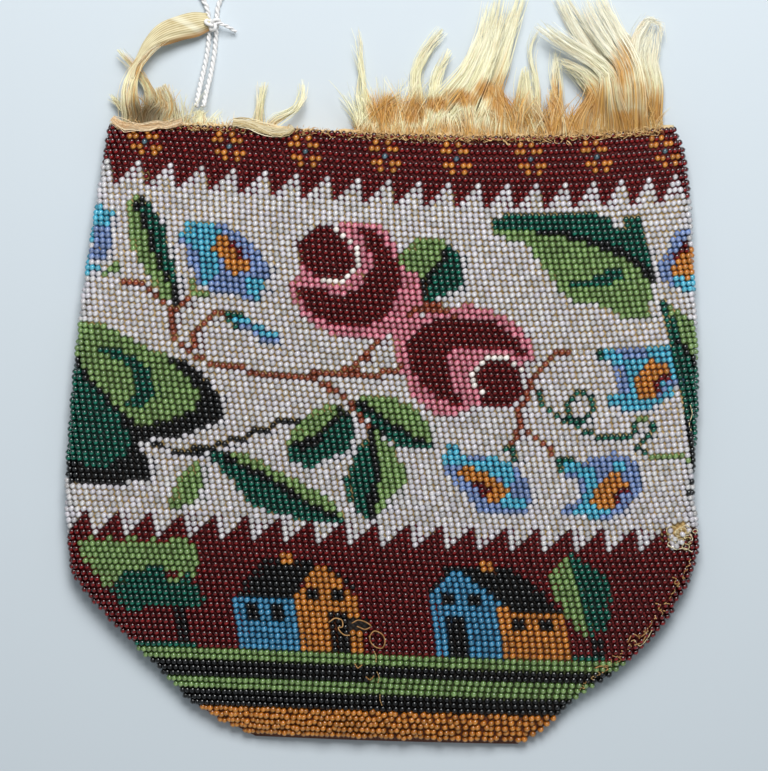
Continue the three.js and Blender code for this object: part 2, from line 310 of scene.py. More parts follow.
NOISE_DETAIL = 2.0


def noise(start, scale):
    """Even noise through the part's own space."""
    place = start.node("ShaderNodeTexCoord", output="Object")
    return start.node("ShaderNodeTexNoise", (), {"Vector": place, "Scale": scale, "Detail": NOISE_DETAIL})


print("middle grey in linear numbers:", round(paint(128, 128, 128)[0], 3))

# %% [markdown]
# ## The white string
#
# A bit of white two-ply string is tied through the silk: up from the torn edge, round a small loop and
# back. It could be one tube with a twisted pattern, but two plies that turn about one line show the twist
# at their edges too. Thread has one finish throughout this purse: every thread is a loose island of its
# mesh, and each island draws a shade between two colours.

# %% Twisted string
THREAD_ROUGHNESS = 0.6
STRING_WAY = [
    (-49.4, 88.9, 6.6), (-48.7, 93, 4.2), (-47.6, 98, 2.2), (-46.6, 104, 1.2), (-46, 111.5, 0.8),
    (-45.6, 117, 0.8), (-44.2, 121, 0.8), (-44.6, 124, 0.8), (-47.2, 125.6, 0.8), (-50, 124.2, 0.8),
    (-50.6, 121, 0.8), (-48.8, 117, 0.8), (-48.1, 111.5, 0.8), (-48.6, 104, 1.2), (-49.8, 98, 2.2),
    (-50.8, 93, 4.2), (-51.4, 88.9, 6.6),
]
STRING_STEPS = 220
STRING_SIDES = 8
STRING_DIAMETER = 1.4 * MM
PLY_RADIUS = STRING_DIAMETER * 0.27
PLY_TURN = 3.4 * MM


def thread_material(name, dark, light):
    """Thread whose islands vary between two shades."""
    made, shader, start = material(name, THREAD_ROUGHNESS)
    chance = start.node("ShaderNodeNewGeometry", output="Random Per Island")
    start.feed(chance.mix(dark, light), shader.inputs["Base Color"])
    return made


def twisted(line, diameter):
    """The two plies of a string that follows a line."""
    level, lift = cross_ways(line[None])
    spin = 2 * math.pi * length_gone(line) / PLY_TURN
    swing = level[0] * np.cos(spin)[:, None] + lift[0] * np.sin(spin)[:, None]
    return np.stack([line + swing * diameter / 4, line - swing * diameter / 4])


def ply_tubes(plies, radius):
    """String as round plies of one radius: points and triangles."""
    return tube(plies, np.full(plies.shape[:2], radius), STRING_SIDES)


string_look = thread_material("white_string", paint(238, 237, 238), paint(238, 236, 232))
string_line = along(np.array(STRING_WAY) * MM, STRING_STEPS)
points, triangles = ply_tubes(twisted(string_line, STRING_DIAMETER), PLY_RADIUS)
tie_string = add_piece("string_tie", points, triangles, string_look)
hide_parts("tie_string")

# %% [markdown]
# ## The knot
#
# Where the strands cross, the string is tied in an overhand knot with one cut end. That knot is a trefoil,
# a closed line that goes over and under itself three times, and three sines draw it exactly, which is
# surer than pulling a curve into shape by eye. The string is a loose cord, so we also say how long and
# thick it is, and that the knot belongs to it.

# %% Knot and cut end
KNOT_PLACE = np.array([-47, 112, 2.9]) * MM
KNOT_HALF = np.array([2.0, 1.6, 0.75]) * MM
KNOT_STEPS = 90
KNOT_RADIUS = 0.48 * MM
LOBE = 1.6
LOBE_REACH = 2.4
KNOT_TAIL = [(-46.2, 112.4, 3.2), (-44.6, 112, 3.0), (-43, 111.4, 2.4), (-40.6, 110, 1.2)]
TAIL_STEPS = 40
TAIL_DIAMETER = STRING_DIAMETER * 0.8
TAIL_PLY_RADIUS = STRING_DIAMETER * 0.2

turn = np.linspace(0, 2 * math.pi, KNOT_STEPS)
trefoil = np.stack([
    (np.sin(turn) + LOBE * np.sin(2 * turn)) / LOBE_REACH,
    (np.cos(turn) - LOBE * np.cos(2 * turn)) / LOBE_REACH,
    -np.sin(3 * turn),
], axis=1)
strand = KNOT_PLACE + trefoil * KNOT_HALF
points, triangles = ply_tubes(strand[None], KNOT_RADIUS)
tail = twisted(along(np.array(KNOT_TAIL) * MM, TAIL_STEPS), TAIL_DIAMETER)
tail_points, tail_triangles = ply_tubes(tail, TAIL_PLY_RADIUS)
points, triangles = np.r_[points, tail_points], np.r_[triangles, tail_triangles + len(points)]
string_knot = add_piece("string_knot", points, triangles, string_look)
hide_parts("tie_knot")
print("knot and cut end:", len(string_knot.data.polygons), "triangles")

# %% [markdown]
# ## The shape of the bag
#
# Knitting is courses, one row of stitches above another. Each course starts at the left fold, runs over
# the front to the right fold and comes back underneath. On the table the courses sag a little and lean,
# because the cloth twisted as it was knitted. The packed part has the same lie: how far down each course
# starts, its drop to the right fold, its sag between the folds, and its swing, which is how much more it
# sags on the right than on the left.
#
# The bag could be blown up as cloth, but a simulation settles a little differently each time it is changed.
# These few curves give the same bag as the packed part, and every bead can ask them for its place.

# %% Courses over the bag
BAG_WIDTH = 175.0
CROWN = 11.5
MOUTH_CROWN = 10.8
BASE_CROWN = 5.0
MOUTH_HEIGHT = 83.5
BASE_HEIGHT = -84.6
MOUTH_TAPER = 40.0
BASE_TAPER = 51.0
BASE_ROLL = 8.7
ROLL_SHARE = 0.7
FOLD_LEVEL = 0.36
FLAT_SHARE = 0.62
CROWN_POWER = 2.6
FIRST_COURSE = 24
LAST_COURSE = 130
COURSE_SAMPLES = 241
LEFT_EDGE = [
    (84, 11.5), (59, 7.4), (30, 3.3), (5, 0.8), (-29, 0.2), (-41, 2.3), (-49.5, 9.2), (-66, 25.4),
    (-78, 38.4), (-82.5, 47), (-84.6, 51),
]
RIGHT_EDGE = [
    (83, 6.6), (78, 4.4), (71, 3.2), (45, 1.5), (8, 0.3), (-18, 1.3), (-32, 0.2), (-41, 2.5), (-50, 7.2),
    (-58, 13.2), (-66, 22), (-74, 33.6), (-82.5, 42.8), (-86.8, 49),
]
COURSE_SHARE = [(0, 0), (4, 0.031), (12, 0.104), (28, 0.249), (52, 0.4765), (76, 0.7005), (107, 1)]
COURSE_DROP = [(83.5, 0.8), (78, 2.9), (66, 4.9), (35, 5.8), (3, 5.6), (-31, 4), (-60, 4.2), (-84.6, 2.2)]
COURSE_SAG = [(83.5, 2.5), (78, 3.9), (60, 3.4), (35, 3.8), (16, 3.3), (-22, 1.3), (-60, 0), (-84.6, 0.3)]
COURSE_SWING = [(83.5, 2.6), (30, 1.7), (-22, 2), (-50, 0.9), (-84.6, 0)]


def crown_at(y):
    """How high the front stands over the table, thinner to the base and rolled under at its end."""
    base = np.clip((y - BASE_HEIGHT) / BASE_TAPER, 0, 1)
    mouth = np.clip((MOUTH_HEIGHT - y) / MOUTH_TAPER, 0, 1)
    full = MOUTH_CROWN + (CROWN - MOUTH_CROWN) * mouth * (2 - mouth)
    rolled = np.clip(1 - (y - BASE_HEIGHT) / BASE_ROLL, 0, 1)
    standing = BASE_CROWN + (full - BASE_CROWN) * np.sin(base * math.pi / 2)
    return standing * np.sqrt(1 - ROLL_SHARE * rolled**2)


def course_line(course, side, depth, share):
    """Points of a course, in metres, at shares of its length from the fold where the side begins."""
    left_y = MOUTH_HEIGHT + (BASE_HEIGHT - MOUTH_HEIGHT) * smooth(COURSE_SHARE, course - FIRST_COURSE)
    drop, sag, swing = (smooth(lie, left_y) for lie in (COURSE_DROP, COURSE_SAG, COURSE_SWING))
    left_x = smooth(LEFT_EDGE, left_y) - BAG_WIDTH / 2 + depth
    right_x = BAG_WIDTH / 2 - smooth(RIGHT_EDGE, left_y - drop) - depth
    top = crown_at(left_y) - depth
    fold = depth + FOLD_LEVEL * (top - depth)

    def height(s):
        if side == "front":
            return fold + (top - fold) * np.sqrt(1 - np.abs(s) ** CROWN_POWER)
        q = np.clip((np.abs(s) - FLAT_SHARE) / (1 - FLAT_SHARE), 0, 1)
        return depth + (fold - depth) * (1 - np.sqrt(1 - q**2))

    s = np.sin(np.linspace(-math.pi / 2, math.pi / 2, COURSE_SAMPLES))
    step = np.hypot(np.diff(s) * (right_x - left_x) / 2, np.diff(height(s)))
    gone = np.r_[0, np.cumsum(step)]
    s = np.interp(share, gone / gone[-1], s)
    z = height(s)
    if side == "back":
        s = -s
    across = (s + 1) / 2
    x = left_x + (right_x - left_x) * across
    y = left_y - drop * across - 4 * across * (1 - across) * (sag + swing * s)
    return np.stack([x, y, z], axis=-1) * MM


print("bag is", f"{BAG_WIDTH:.0f} mm wide over {LAST_COURSE - FIRST_COURSE + 1} beaded courses")

# %% [markdown]
# ## Rings and skins
#
# A bag is a tube with one end closed. Rings of points, one for each course, are joined into triangles by
# `skin`, and `shell` strings the rings together: up the inside of the wall and down the outside. A solidify
# modifier would thicken a single skin too, but it breaks up where the wall folds sharply.

# %% Rings and skins
RING_POINTS = 48
RING_SHARES = np.linspace(0, 1, RING_POINTS + 1)[:-1]
BANDS_ON_SHEET = 0.98
CAPS_ON_SHEET = 0.995
MIDDLE_COURSE = 76


def bag_ring(course, depth):
    """A whole course: the front and then the back."""
    front = course_line(course, "front", depth, RING_SHARES)
    back = course_line(course, "back", depth, RING_SHARES)
    return np.concatenate([front, back])


def skin(rings, capped=True):
    """Points, triangles and sheet corners of a closed skin: rings with a cap at either end, or a loop."""
    rings = np.array(rings)
    steps, count, _ = rings.shape
    bands = steps - 1 if capped else steps
    i, j = np.meshgrid(np.arange(bands), np.arange(count), indexing="ij")
    below, after = (i + 1) % steps, (j + 1) % count
    a, b, c, d = i * count + j, below * count + j, below * count + after, i * count + after
    triangles = np.stack([a, b, c, a, c, d], axis=-1).reshape(-1, 3)
    u, v = j / count, i / bands
    right, lower = u + 1 / count, v + 1 / bands
    sheet = np.stack([u, v, u, lower, right, lower, u, v, right, lower, right, v], axis=-1).reshape(-1, 2)
    points = rings.reshape(-1, 3)
    if capped:
        k = np.arange(count)
        last = (steps - 1) * count
        begin = np.stack([np.full(count, len(points)), k, (k + 1) % count], axis=1)
        end = np.stack([np.full(count, len(points) + 1), last + (k + 1) % count, last + k], axis=1)
        points = np.concatenate([points, [rings[0].mean(0), rings[-1].mean(0)]])
        triangles = np.concatenate([triangles, begin, end])
        sheet = np.concatenate([sheet * [1, BANDS_ON_SHEET], np.full((6 * count, 2), CAPS_ON_SHEET)])
    return points, triangles, sheet


def shell(courses, depth, wall):
    """Rings of a bag with a mouth: up the inside from its floor, then down the outside."""
    inside = [bag_ring(course, depth + wall) for course in courses[-3::-1]]
    return inside + [bag_ring(course, depth) for course in courses]


print(f"half way down the bag is {np.ptp(bag_ring(MIDDLE_COURSE, 0)[:, 0]) / MM:.0f} mm wide")

# %% [markdown]
# ## The knitted ground
#
# Between the beads the knitting silk itself shows, tan with age. It is one skin: the outside runs just
# under the beads from the rim to the base, turns in, and comes back up as the inside of the wall. Its loops
# are far finer than the beads over them, so crossed sine waves in the finish are enough to draw them.

# %% Knitted ground
GROUND_DEPTH = 1.3
WALL = 1.8
STITCHES_ROUND = 200
KNIT_ROUGHNESS = 0.75
KNIT_GRAIN = 400.0
KNIT_MOTTLE = 0.4
KNIT_RANGE = (0.1, 0.9)
LOOP_TONE = 0.3
LOOP_BUMP = {"Strength": 0.4, "Distance": 0.0003}


def knitted_ground(name, stitches, courses, dark, light):
    """Knitting silk between the beads: small loops in rows."""
    made, shader, start = material(name, KNIT_ROUGHNESS)
    sheet = start.node("ShaderNodeUVMap", {"uv_map": "OFBake"})
    across = (sheet.part("X") * (2 * math.pi * stitches)).sine()
    down = (sheet.part("Y") * (2 * math.pi * courses)).sine()
    loops = across * down
    tone = (0.5 + LOOP_TONE * loops + KNIT_MOTTLE * (noise(start, KNIT_GRAIN) - 0.5)).ramp(*KNIT_RANGE)
    start.feed(tone.mix(dark, light), shader.inputs["Base Color"])
    bump = start.node("ShaderNodeBump", (), {**LOOP_BUMP, "Height": loops})
    start.feed(bump, shader.inputs["Normal"])
    return made


courses = np.arange(FIRST_COURSE, LAST_COURSE + 1.5, 1.0)
ground_weave = (STITCHES_ROUND, len(courses) * 2)
ground_look = knitted_ground("knitting_silk", *ground_weave, paint(160, 128, 74), paint(222, 188, 124))
points, triangles, sheet = skin(shell(courses, GROUND_DEPTH, WALL - GROUND_DEPTH))
ground = add_piece("knitted_ground", points, triangles, ground_look, sheet)
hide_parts("beaded_body")
print("ground of", len(ground.data.polygons), "triangles")

# %% [markdown]
# ## The lining
#
# Inside hangs a pouch of plain woven silk. It could be cut and sewn as a cloth of its own, but no more than
# its top can be seen, so the same rings, set deeper and farther apart, do for it. The fine weave and the
# stains are in its finish.

# %% Lining
CREAM = paint(234, 228, 178)
STAIN = paint(188, 120, 44)
WEAVE = 9000.0
WEAVE_TONE = 0.1
LINING_ROUGHNESS = 0.5
LINING_GRAIN = 60.0
LINING_RANGE = (0.3, 0.75)
LINING_DEPTH = 2.2
LINING_WALL = 0.5
LINING_END = 122
LINING_STEP = 2.0


def woven_silk(name):
    """Plain woven silk of the lining."""
    made, shader, start = material(name, LINING_ROUGHNESS)
    place = start.node("ShaderNodeTexCoord", output="Object")
    weave = (place.part("X") * WEAVE).sine() * (place.part("Y") * WEAVE).sine()
    tone = (noise(start, LINING_GRAIN) + WEAVE_TONE * weave).ramp(*LINING_RANGE)
    start.feed(tone.mix(STAIN, CREAM), shader.inputs["Base Color"])
    return made


lining_look = woven_silk("lining_silk")
lining_courses = np.arange(FIRST_COURSE - 0.5, LINING_END, LINING_STEP)
points, triangles, sheet = skin(shell(lining_courses, LINING_DEPTH, LINING_WALL))
lining = add_piece("lining_pouch", points, triangles, lining_look, sheet)
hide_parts("silk_lining")
print("lining of", len(lining.data.polygons), "triangles")

# %% [markdown]
# ## The chart
#
# A bead knitter works from a squared chart and threads the beads in its order, last one first. We draw
# the chart the same way a designer would: a ground colour, then fields with an outline, runs of single
# beads for stems and ribs, and blocks for walls and windows. Columns are stitches and wrap round after
# a hundred; rows are courses, numbered downwards from 24 at the rim. A painted picture could colour the
# beads too, but drawn shapes stay crisp, and a wrong bead is quickly moved.

# %% Drawing on the chart
REPEAT = 100
ON_LINE = 0.35
COLOURS = 13
PEARL, GARNET, BLACK, LEAF, TEAL, TURQUOISE, LAVENDER, BLUE, OCHRE, PINK, CHALK, RUST, SLATE = range(COLOURS)
chart = np.full((LAST_COURSE + 2, REPEAT), PEARL)


def field(bead, outline):
    """Fills an outline given by the beads on it."""
    corners = np.array(outline, float)
    low, high = np.floor(corners.min(0)).astype(int), np.ceil(corners.max(0)).astype(int)
    c, r = np.meshgrid(np.arange(low[0], high[0] + 1), np.arange(low[1], high[1] + 1))
    inside = np.zeros(c.shape, bool)
    on_line = np.zeros(c.shape, bool)
    for (ax, ay), (bx, by) in zip(corners, np.roll(corners, -1, axis=0)):
        run_x, run_y = bx - ax, by - ay
        crossing = (ay > r) != (by > r)
        inside ^= crossing & (c < ax + (r - ay) * run_x / (run_y or 1))
        t = np.clip(((c - ax) * run_x + (r - ay) * run_y) / max(run_x**2 + run_y**2, 1e-9), 0, 1)
        on_line |= np.hypot(c - ax - t * run_x, r - ay - t * run_y) < ON_LINE
    hit = inside | on_line
    chart[r[hit], c[hit] % REPEAT] = bead


def run(bead, way):
    """Single beads along a line."""
    for (ax, ay), (bx, by) in zip(way[:-1], way[1:]):
        steps = max(abs(bx - ax), abs(by - ay), 1)
        t = np.arange(steps + 1) / steps
        columns = np.round(ax + (bx - ax) * t).astype(int)
        rows = np.round(ay + (by - ay) * t).astype(int)
        chart[rows, columns % REPEAT] = bead


def block(bead, left, top, right, bottom):
    """A rectangle of beads."""
    chart[top:bottom + 1, np.arange(left, right + 1) % REPEAT] = bead


def stripe(bead, top, bottom):
    """Whole courses of one colour."""
    chart[top:bottom + 1] = bead


print("chart of", REPEAT, "stitches by", LAST_COURSE - FIRST_COURSE + 1, "courses")

# %% [markdown]
# ## Borders
#
# A garnet band with little rosettes runs under the rim and ends in sawteeth. The same teeth, turned
# over, open the dark landscape below. Plain stripes close the base. All of it repeats, so a few loops and
# a rule for the teeth draw it.

# %% Bands, teeth and rosettes
TOOTH = 5
TEETH_HIGH = 4
BAND_END = 30
VILLAGE_TOP = 97
VILLAGE_FOOT = 115
ROSETTES = 8
ROSETTE_ROW = 27
column = np.arange(REPEAT)
stripe(GARNET, FIRST_COURSE, BAND_END)
stripe(GARNET, VILLAGE_TOP, VILLAGE_FOOT)
for row in range(1, TEETH_HIGH + 1):
    chart[BAND_END + row, (column - 1) % TOOTH <= TEETH_HIGH - row] = GARNET
    chart[VILLAGE_TOP - row, column % TOOTH >= row] = GARNET
for number in range(ROSETTES):
    middle = int(TOOTH + REPEAT / ROSETTES * number)
    for side in (-1, 1):
        for way in (-1, 1):
            petal = [(side, 2 * way), (side, way), (2 * side, way)]
            run(OCHRE, [(middle + aside, ROSETTE_ROW + down) for aside, down in petal])
    run(SLATE, [(middle, ROSETTE_ROW), (middle, ROSETTE_ROW)])
block(TEAL, 1, VILLAGE_FOOT, 12, VILLAGE_FOOT)
block(TEAL, 68, VILLAGE_FOOT, 75, VILLAGE_FOOT)
stripe(LEAF, 116, 117)
stripe(BLACK, 118, 125)
stripe(LEAF, 121, 122)
block(LEAF, 41, 120, REPEAT - 1, 122)
stripe(OCHRE, 126, LAST_COURSE + 1)
print("garnet beads so far:", int((chart == GARNET).sum()))

# %% [markdown]
# ## Roses
#
# A rose is a garnet heart inside a white line, a pink turn, a garnet outer petal and a pink edge. Each is
# drawn over the one before, as a painter would, so only the outermost outline has to be exact.

# %% The two roses
field(PINK, [
    (47, 39), (53, 39), (55, 42), (55, 45), (58, 47), (58, 53), (55, 56), (51, 58), (44, 58), (41, 57),
    (39, 55), (38, 53), (38, 50), (40, 48), (40, 47), (46, 42),
])
field(GARNET, [
    (50, 40), (52, 40), (54, 43), (55, 46), (55, 49), (54, 51), (52, 54), (49, 56), (43, 56), (40, 54),
    (39, 52), (39, 51), (42, 51), (46, 52), (49, 50), (51, 47), (52, 45), (51, 42),
])
field(GARNET, [(43, 40), (45, 40), (47, 42), (48, 44), (48, 46), (46, 48), (42, 48), (40, 46), (40, 43)])
run(CHALK, [(46, 40), (49, 43), (49, 46), (46, 49), (43, 49)])

field(PINK, [
    (65, 52), (69, 53), (72, 55), (74, 58), (74, 61), (72, 62), (64, 69), (60, 71), (57, 71), (54, 68),
    (53, 63), (53, 58), (55, 55), (60, 54),
])
field(GARNET, [
    (61, 55), (69, 55), (72, 58), (73, 60), (70, 59), (62, 59), (60, 61), (60, 66), (61, 69), (58, 68),
    (56, 66), (55, 63), (55, 59), (58, 56),
])
field(GARNET, [(67, 62), (70, 62), (71, 63), (71, 67), (69, 69), (65, 69), (65, 64)])
run(CHALK, [(70, 61), (67, 61), (64, 64), (64, 66), (65, 67)])
run(CHALK, [(71, 62), (72, 63)])
run(RUST, [(56, 54), (57, 53), (62, 53), (63, 54)])
run(RUST, [(59, 52), (61, 52)])
print("pink and white beads:", int(np.isin(chart, (PINK, CHALK)).sum()))

# %% [markdown]
# ## Leaves
#
# A leaf is two fields, light on one side and dark on the other, with a black rib between them. The small
# leaves are all drawn that way by one helper. The two large ones have a second dark field or a curled
# edge, so they are drawn field by field.

# %% Upper leaves
def leaf(light, dark, rib):
    """A leaf in two greens with a black rib."""
    field(LEAF, light)
    field(TEAL, dark)
    run(BLACK, rib)


leaf(
    [
        (14, 37), (13, 38), (13, 46), (14, 48), (16, 52), (17, 54), (18, 54), (18, 52), (16, 48), (15, 44),
        (14, 40),
    ],
    [(16, 38), (18, 42), (18, 47), (19, 48), (19, 51), (17, 46), (16, 42), (15, 39)],
    [(15, 37), (14, 38), (15, 40), (15, 42), (16, 43), (16, 46), (17, 47), (17, 49), (18, 50), (18, 51)],
)
run(BLACK, [(19, 52), (19, 55)])
leaf(
    [(59, 41), (63, 41), (63, 42), (61, 45), (59, 47), (56, 45), (56, 44)],
    [(64, 42), (65, 43), (65, 48), (62, 50), (59, 51), (60, 49), (62, 46)],
    [(63, 43), (63, 44), (60, 47), (59, 48), (59, 50)],
)
field(TEAL, [
    (74, 36), (89, 36), (91, 37), (91, 39), (94, 39), (94, 37), (96, 37), (96, 45), (93, 43), (88, 40),
    (84, 39), (72, 38), (72, 37),
])
field(LEAF, [
    (72, 39), (78, 39), (83, 40), (88, 42), (92, 44), (94, 46), (95, 48), (95, 50), (94, 54), (90, 54),
    (88, 52), (83, 51), (81, 49), (79, 45), (77, 41),
])
field(TEAL, [(83, 48), (88, 47), (91, 46), (91, 47), (89, 48)])
block(TEAL, 89, 46, 91, 47)
run(BLACK, [(79, 39), (83, 39), (86, 40), (89, 41), (92, 42), (95, 45), (96, 46), (96, 48)])
print("leaf beads so far:", int(np.isin(chart, (LEAF, TEAL)).sum()))

# %% [markdown]
# ## The great leaf
#
# The largest leaf lies over the left fold, so part of it comes out again at the right fold on the next
# repeat. Because the chart wraps, its columns simply count on past a hundred.

# %% The great leaf across the fold
field(LEAF, [
    (98, 53), (101, 56), (102, 60), (107, 60), (112, 63), (116, 64), (118, 66), (120, 69), (120, 72),
    (117, 75), (112, 76), (110, 76), (107, 73), (104, 69), (101, 64), (98, 58),
])
field(TEAL, [
    (97, 52), (98, 56), (99, 61), (101, 66), (106, 74), (109, 78), (108, 81), (104, 84), (98, 84), (98, 80),
    (98, 74), (97, 72),
])
field(TEAL, [
    (106, 64), (108, 64), (111, 65), (113, 67), (113, 71), (111, 73), (109, 73), (111, 71), (111, 67),
    (109, 65),
])
run(BLACK, [(98, 59), (100, 62), (102, 67), (104, 70), (108, 75), (109, 80)])
run(BLACK, [(97, 74), (97, 83), (96, 84)])
run(BLACK, [(95, 86), (98, 86)])
field(BLACK, [
    (117, 65), (119, 65), (122, 68), (123, 70), (123, 74), (120, 76), (116, 78), (109, 79), (110, 77),
    (117, 75), (120, 73), (121, 70), (119, 67),
])
field(BLACK, [(109, 80), (110, 82), (110, 86), (104, 87), (98, 87), (98, 84), (104, 85), (107, 83)])
print("leaf beads so far:", int(np.isin(chart, (LEAF, TEAL)).sum()))

# %% [markdown]
# ## Lower leaves
#
# These hang from one stem. Where light and dark fields meet unevenly, a stitch may be left open inside a
# leaf. Hunting for such stitches by eye is slow, so a rule closes them: an open stitch with green on more
# than two sides belongs to the rib. It runs twice, and a few beads that the knitter worked otherwise are
# set one by one after it.

# %% Lower leaves
CLOSING_ROUNDS = 2
GREEN_SIDES = 2
leaf(
    [(41, 71), (38, 72), (36, 74), (34, 76), (33, 78), (35, 77), (38, 75), (41, 72)],
    [(42, 73), (43, 73), (43, 76), (41, 79), (38, 80), (36, 82), (33, 81), (33, 79), (37, 79), (40, 75)],
    [(43, 72), (42, 71), (42, 72), (36, 78), (35, 78), (35, 79)],
)
leaf(
    [(46, 69), (50, 69), (53, 70), (55, 73), (55, 76), (53, 75), (50, 73), (48, 71)],
    [(45, 71), (48, 73), (52, 76), (55, 77), (50, 77), (47, 73)],
    [(45, 70), (46, 71), (47, 71), (49, 73), (51, 74), (53, 76)],
)
leaf(
    [(47, 75), (48, 76), (50, 82), (50, 84), (47, 87), (45, 90), (46, 86)],
    [(45, 77), (42, 82), (41, 84), (41, 88), (43, 91), (43, 88), (44, 86), (45, 83)],
    [(46, 75), (46, 84), (45, 85), (45, 87), (44, 88), (44, 91)],
)
leaf(
    [(24, 81), (26, 81), (29, 83), (33, 85), (38, 89), (39, 91), (34, 88), (28, 84)],
    [(21, 82), (24, 83), (30, 87), (35, 91), (39, 92), (33, 92), (28, 91), (25, 89), (24, 86), (23, 85)],
    [(23, 82), (29, 85), (31, 86), (35, 90), (37, 91)],
)
field(LEAF, [(18, 83), (18, 87), (16, 90), (13, 91), (14, 88), (16, 85)])
for _ in range(CLOSING_ROUNDS):
    green = np.isin(chart, (LEAF, TEAL, BLACK))
    around = sum(np.roll(green, step, axis).astype(int) for step in (-1, 1) for axis in (0, 1))
    chart[(chart == PEARL) & (around > GREEN_SIDES)] = BLACK
run(BLACK, [(35, 74), (33, 74), (25, 78), (20, 80), (15, 81)])
run(PEARL, [(48, 76), (49, 77)])
run(BLACK, [(18, 81), (19, 81)])
run(BLACK, [(12, 80), (13, 80)])
run(TEAL, [(21, 81), (22, 81)])
run(BLACK, [(23, 81), (23, 81)])
print("leaf beads:", int(np.isin(chart, (LEAF, TEAL, BLACK)).sum()))

# %% [markdown]
# ## Blue flowers
#
# Five flowers share one plan, seen from different sides: petals in lavender and turquoise round an ochre
# heart with a few garnet beads. They could be one flower turned about, but a chart has no slanted stitches,
# and the designer drew each of them anew.

# %% Flowers
field(LAVENDER, [
    (21, 43), (23, 41), (28, 41), (31, 43), (33, 45), (34, 48), (33, 51), (32, 53), (25, 52), (23, 51),
    (22, 47),
])
field(TURQUOISE, [(21, 43), (22, 41), (26, 41), (27, 42), (26, 45), (26, 49), (24, 51), (24, 46)])
field(TURQUOISE, [(31, 50), (33, 50), (32, 53), (31, 52)])
field(OCHRE, [(27, 43), (28, 43), (29, 46), (31, 47), (31, 48), (29, 49), (26, 45)])
run(GARNET, [(29, 44), (30, 45), (30, 46)])
run(LEAF, [(22, 51), (22, 53), (24, 53)])

field(TURQUOISE, [
    (107, 39), (110, 40), (109, 42), (108, 44), (106, 45), (105, 47), (105, 49), (107, 50), (104, 51),
    (99, 49), (102, 46),
])
field(LAVENDER, [(107, 43), (109, 43), (109, 46), (108, 48), (106, 48), (107, 45)])
field(LAVENDER, [(98, 45), (100, 43), (102, 40), (104, 40), (101, 44), (99, 49), (98, 48)])
field(OCHRE, [(100, 46), (103, 43), (105, 43), (104, 46), (102, 48), (100, 47)])
run(GARNET, [(101, 44), (103, 42), (103, 43)])
run(LEAF, [(110, 49), (110, 50), (108, 51)])

field(TURQUOISE, [
    (86, 60), (96, 60), (96, 65), (95, 68), (91, 70), (88, 70), (85, 69), (85, 68), (88, 67), (88, 63),
    (86, 61),
])
field(LAVENDER, [(88, 60), (92, 60), (92, 61), (89, 61)])
field(LAVENDER, [(87, 63), (88, 63), (88, 67), (87, 67)])
run(LAVENDER, [(96, 66), (95, 66), (93, 68)])
field(OCHRE, [(93, 62), (95, 63), (95, 64), (93, 65), (92, 68), (90, 68), (90, 65)])
run(GARNET, [(95, 65), (94, 65), (93, 66), (93, 67)])
run(TEAL, [(85, 60), (85, 61)])

field(LAVENDER, [(57, 79), (64, 79), (68, 81), (69, 83), (69, 87), (68, 89), (61, 89), (59, 85), (57, 82)])
field(TURQUOISE, [(58, 77), (59, 77), (60, 80), (57, 80)])
field(TURQUOISE, [
    (61, 80), (65, 79), (67, 80), (67, 82), (66, 86), (68, 87), (68, 88), (65, 88), (66, 83), (62, 81),
])
field(OCHRE, [(60, 81), (63, 82), (66, 85), (64, 87), (63, 87), (63, 85), (59, 82)])
run(GARNET, [(61, 84), (62, 84), (62, 86), (63, 85)])
run(TEAL, [(67, 77), (68, 77), (68, 79)])

field(LAVENDER, [
    (75, 80), (82, 79), (84, 78), (87, 80), (87, 85), (84, 88), (81, 90), (78, 89), (74, 89), (78, 86),
    (78, 83), (76, 82),
])
field(TURQUOISE, [
    (75, 80), (77, 80), (80, 81), (80, 84), (79, 86), (79, 88), (81, 89), (79, 90), (76, 89), (78, 87),
    (79, 83),
])
field(OCHRE, [(83, 82), (84, 82), (85, 84), (82, 86), (82, 88), (80, 88), (79, 87), (80, 85)])
run(GARNET, [(85, 85), (84, 85), (83, 86), (83, 87)])
run(TURQUOISE, [(84, 80), (85, 80), (85, 81), (84, 81)])
run(TEAL, [(75, 81), (75, 79), (77, 79)])

field(TURQUOISE, [(28, 57), (29, 57), (32, 58), (34, 59), (33, 59), (30, 58)])
run(LAVENDER, [(29, 58), (31, 59), (32, 60), (34, 60)])
run(TEAL, [(29, 56), (27, 56), (27, 57), (28, 58)])
print("blue beads:", int(np.isin(chart, (TURQUOISE, LAVENDER)).sum()))

# %% [markdown]
# ## Stems and curls
#
# Stems are single runs of rust beads, and the tendrils by the small flowers are runs of green. A thin
# field could draw them, but it may skip a stitch where it slants. A run steps from stitch to stitch, as
# the knitter counts it.

# %% Stems and curls
run(RUST, [
    (11, 52), (13, 52), (15, 53), (17, 55), (18, 57), (18, 61), (21, 64), (22, 64), (23, 65), (28, 65),
])
run(RUST, [(29, 66), (39, 66), (39, 65), (49, 65), (50, 64), (52, 64), (53, 63)])
run(RUST, [(40, 67), (41, 67), (41, 68), (42, 68), (44, 70), (44, 71), (46, 74)])
run(RUST, [(44, 64), (46, 64), (46, 63), (48, 62), (48, 61), (50, 59)])
run(RUST, [(19, 56), (21, 54)])
run(RUST, [(26, 56), (25, 56), (21, 60), (21, 62), (20, 63)])
run(RUST, [
    (80, 60), (78, 60), (73, 65), (73, 66), (71, 69), (70, 71), (70, 73), (69, 74), (69, 75), (68, 76),
])
run(RUST, [(71, 74), (73, 76), (74, 78)])
run(TEAL, [
    (74, 67), (74, 69), (77, 72), (80, 72), (82, 70), (82, 68), (81, 67), (80, 67), (78, 69), (78, 71),
])
run(TEAL, [
    (79, 73), (80, 74), (82, 75), (87, 75), (88, 73), (90, 72), (91, 73), (91, 74), (88, 77), (89, 78),
])
run(LEAF, [(89, 72), (90, 72)])
run(LEAF, [(90, 79), (95, 79), (96, 80)])
print("stem beads:", int((chart == RUST).sum()))

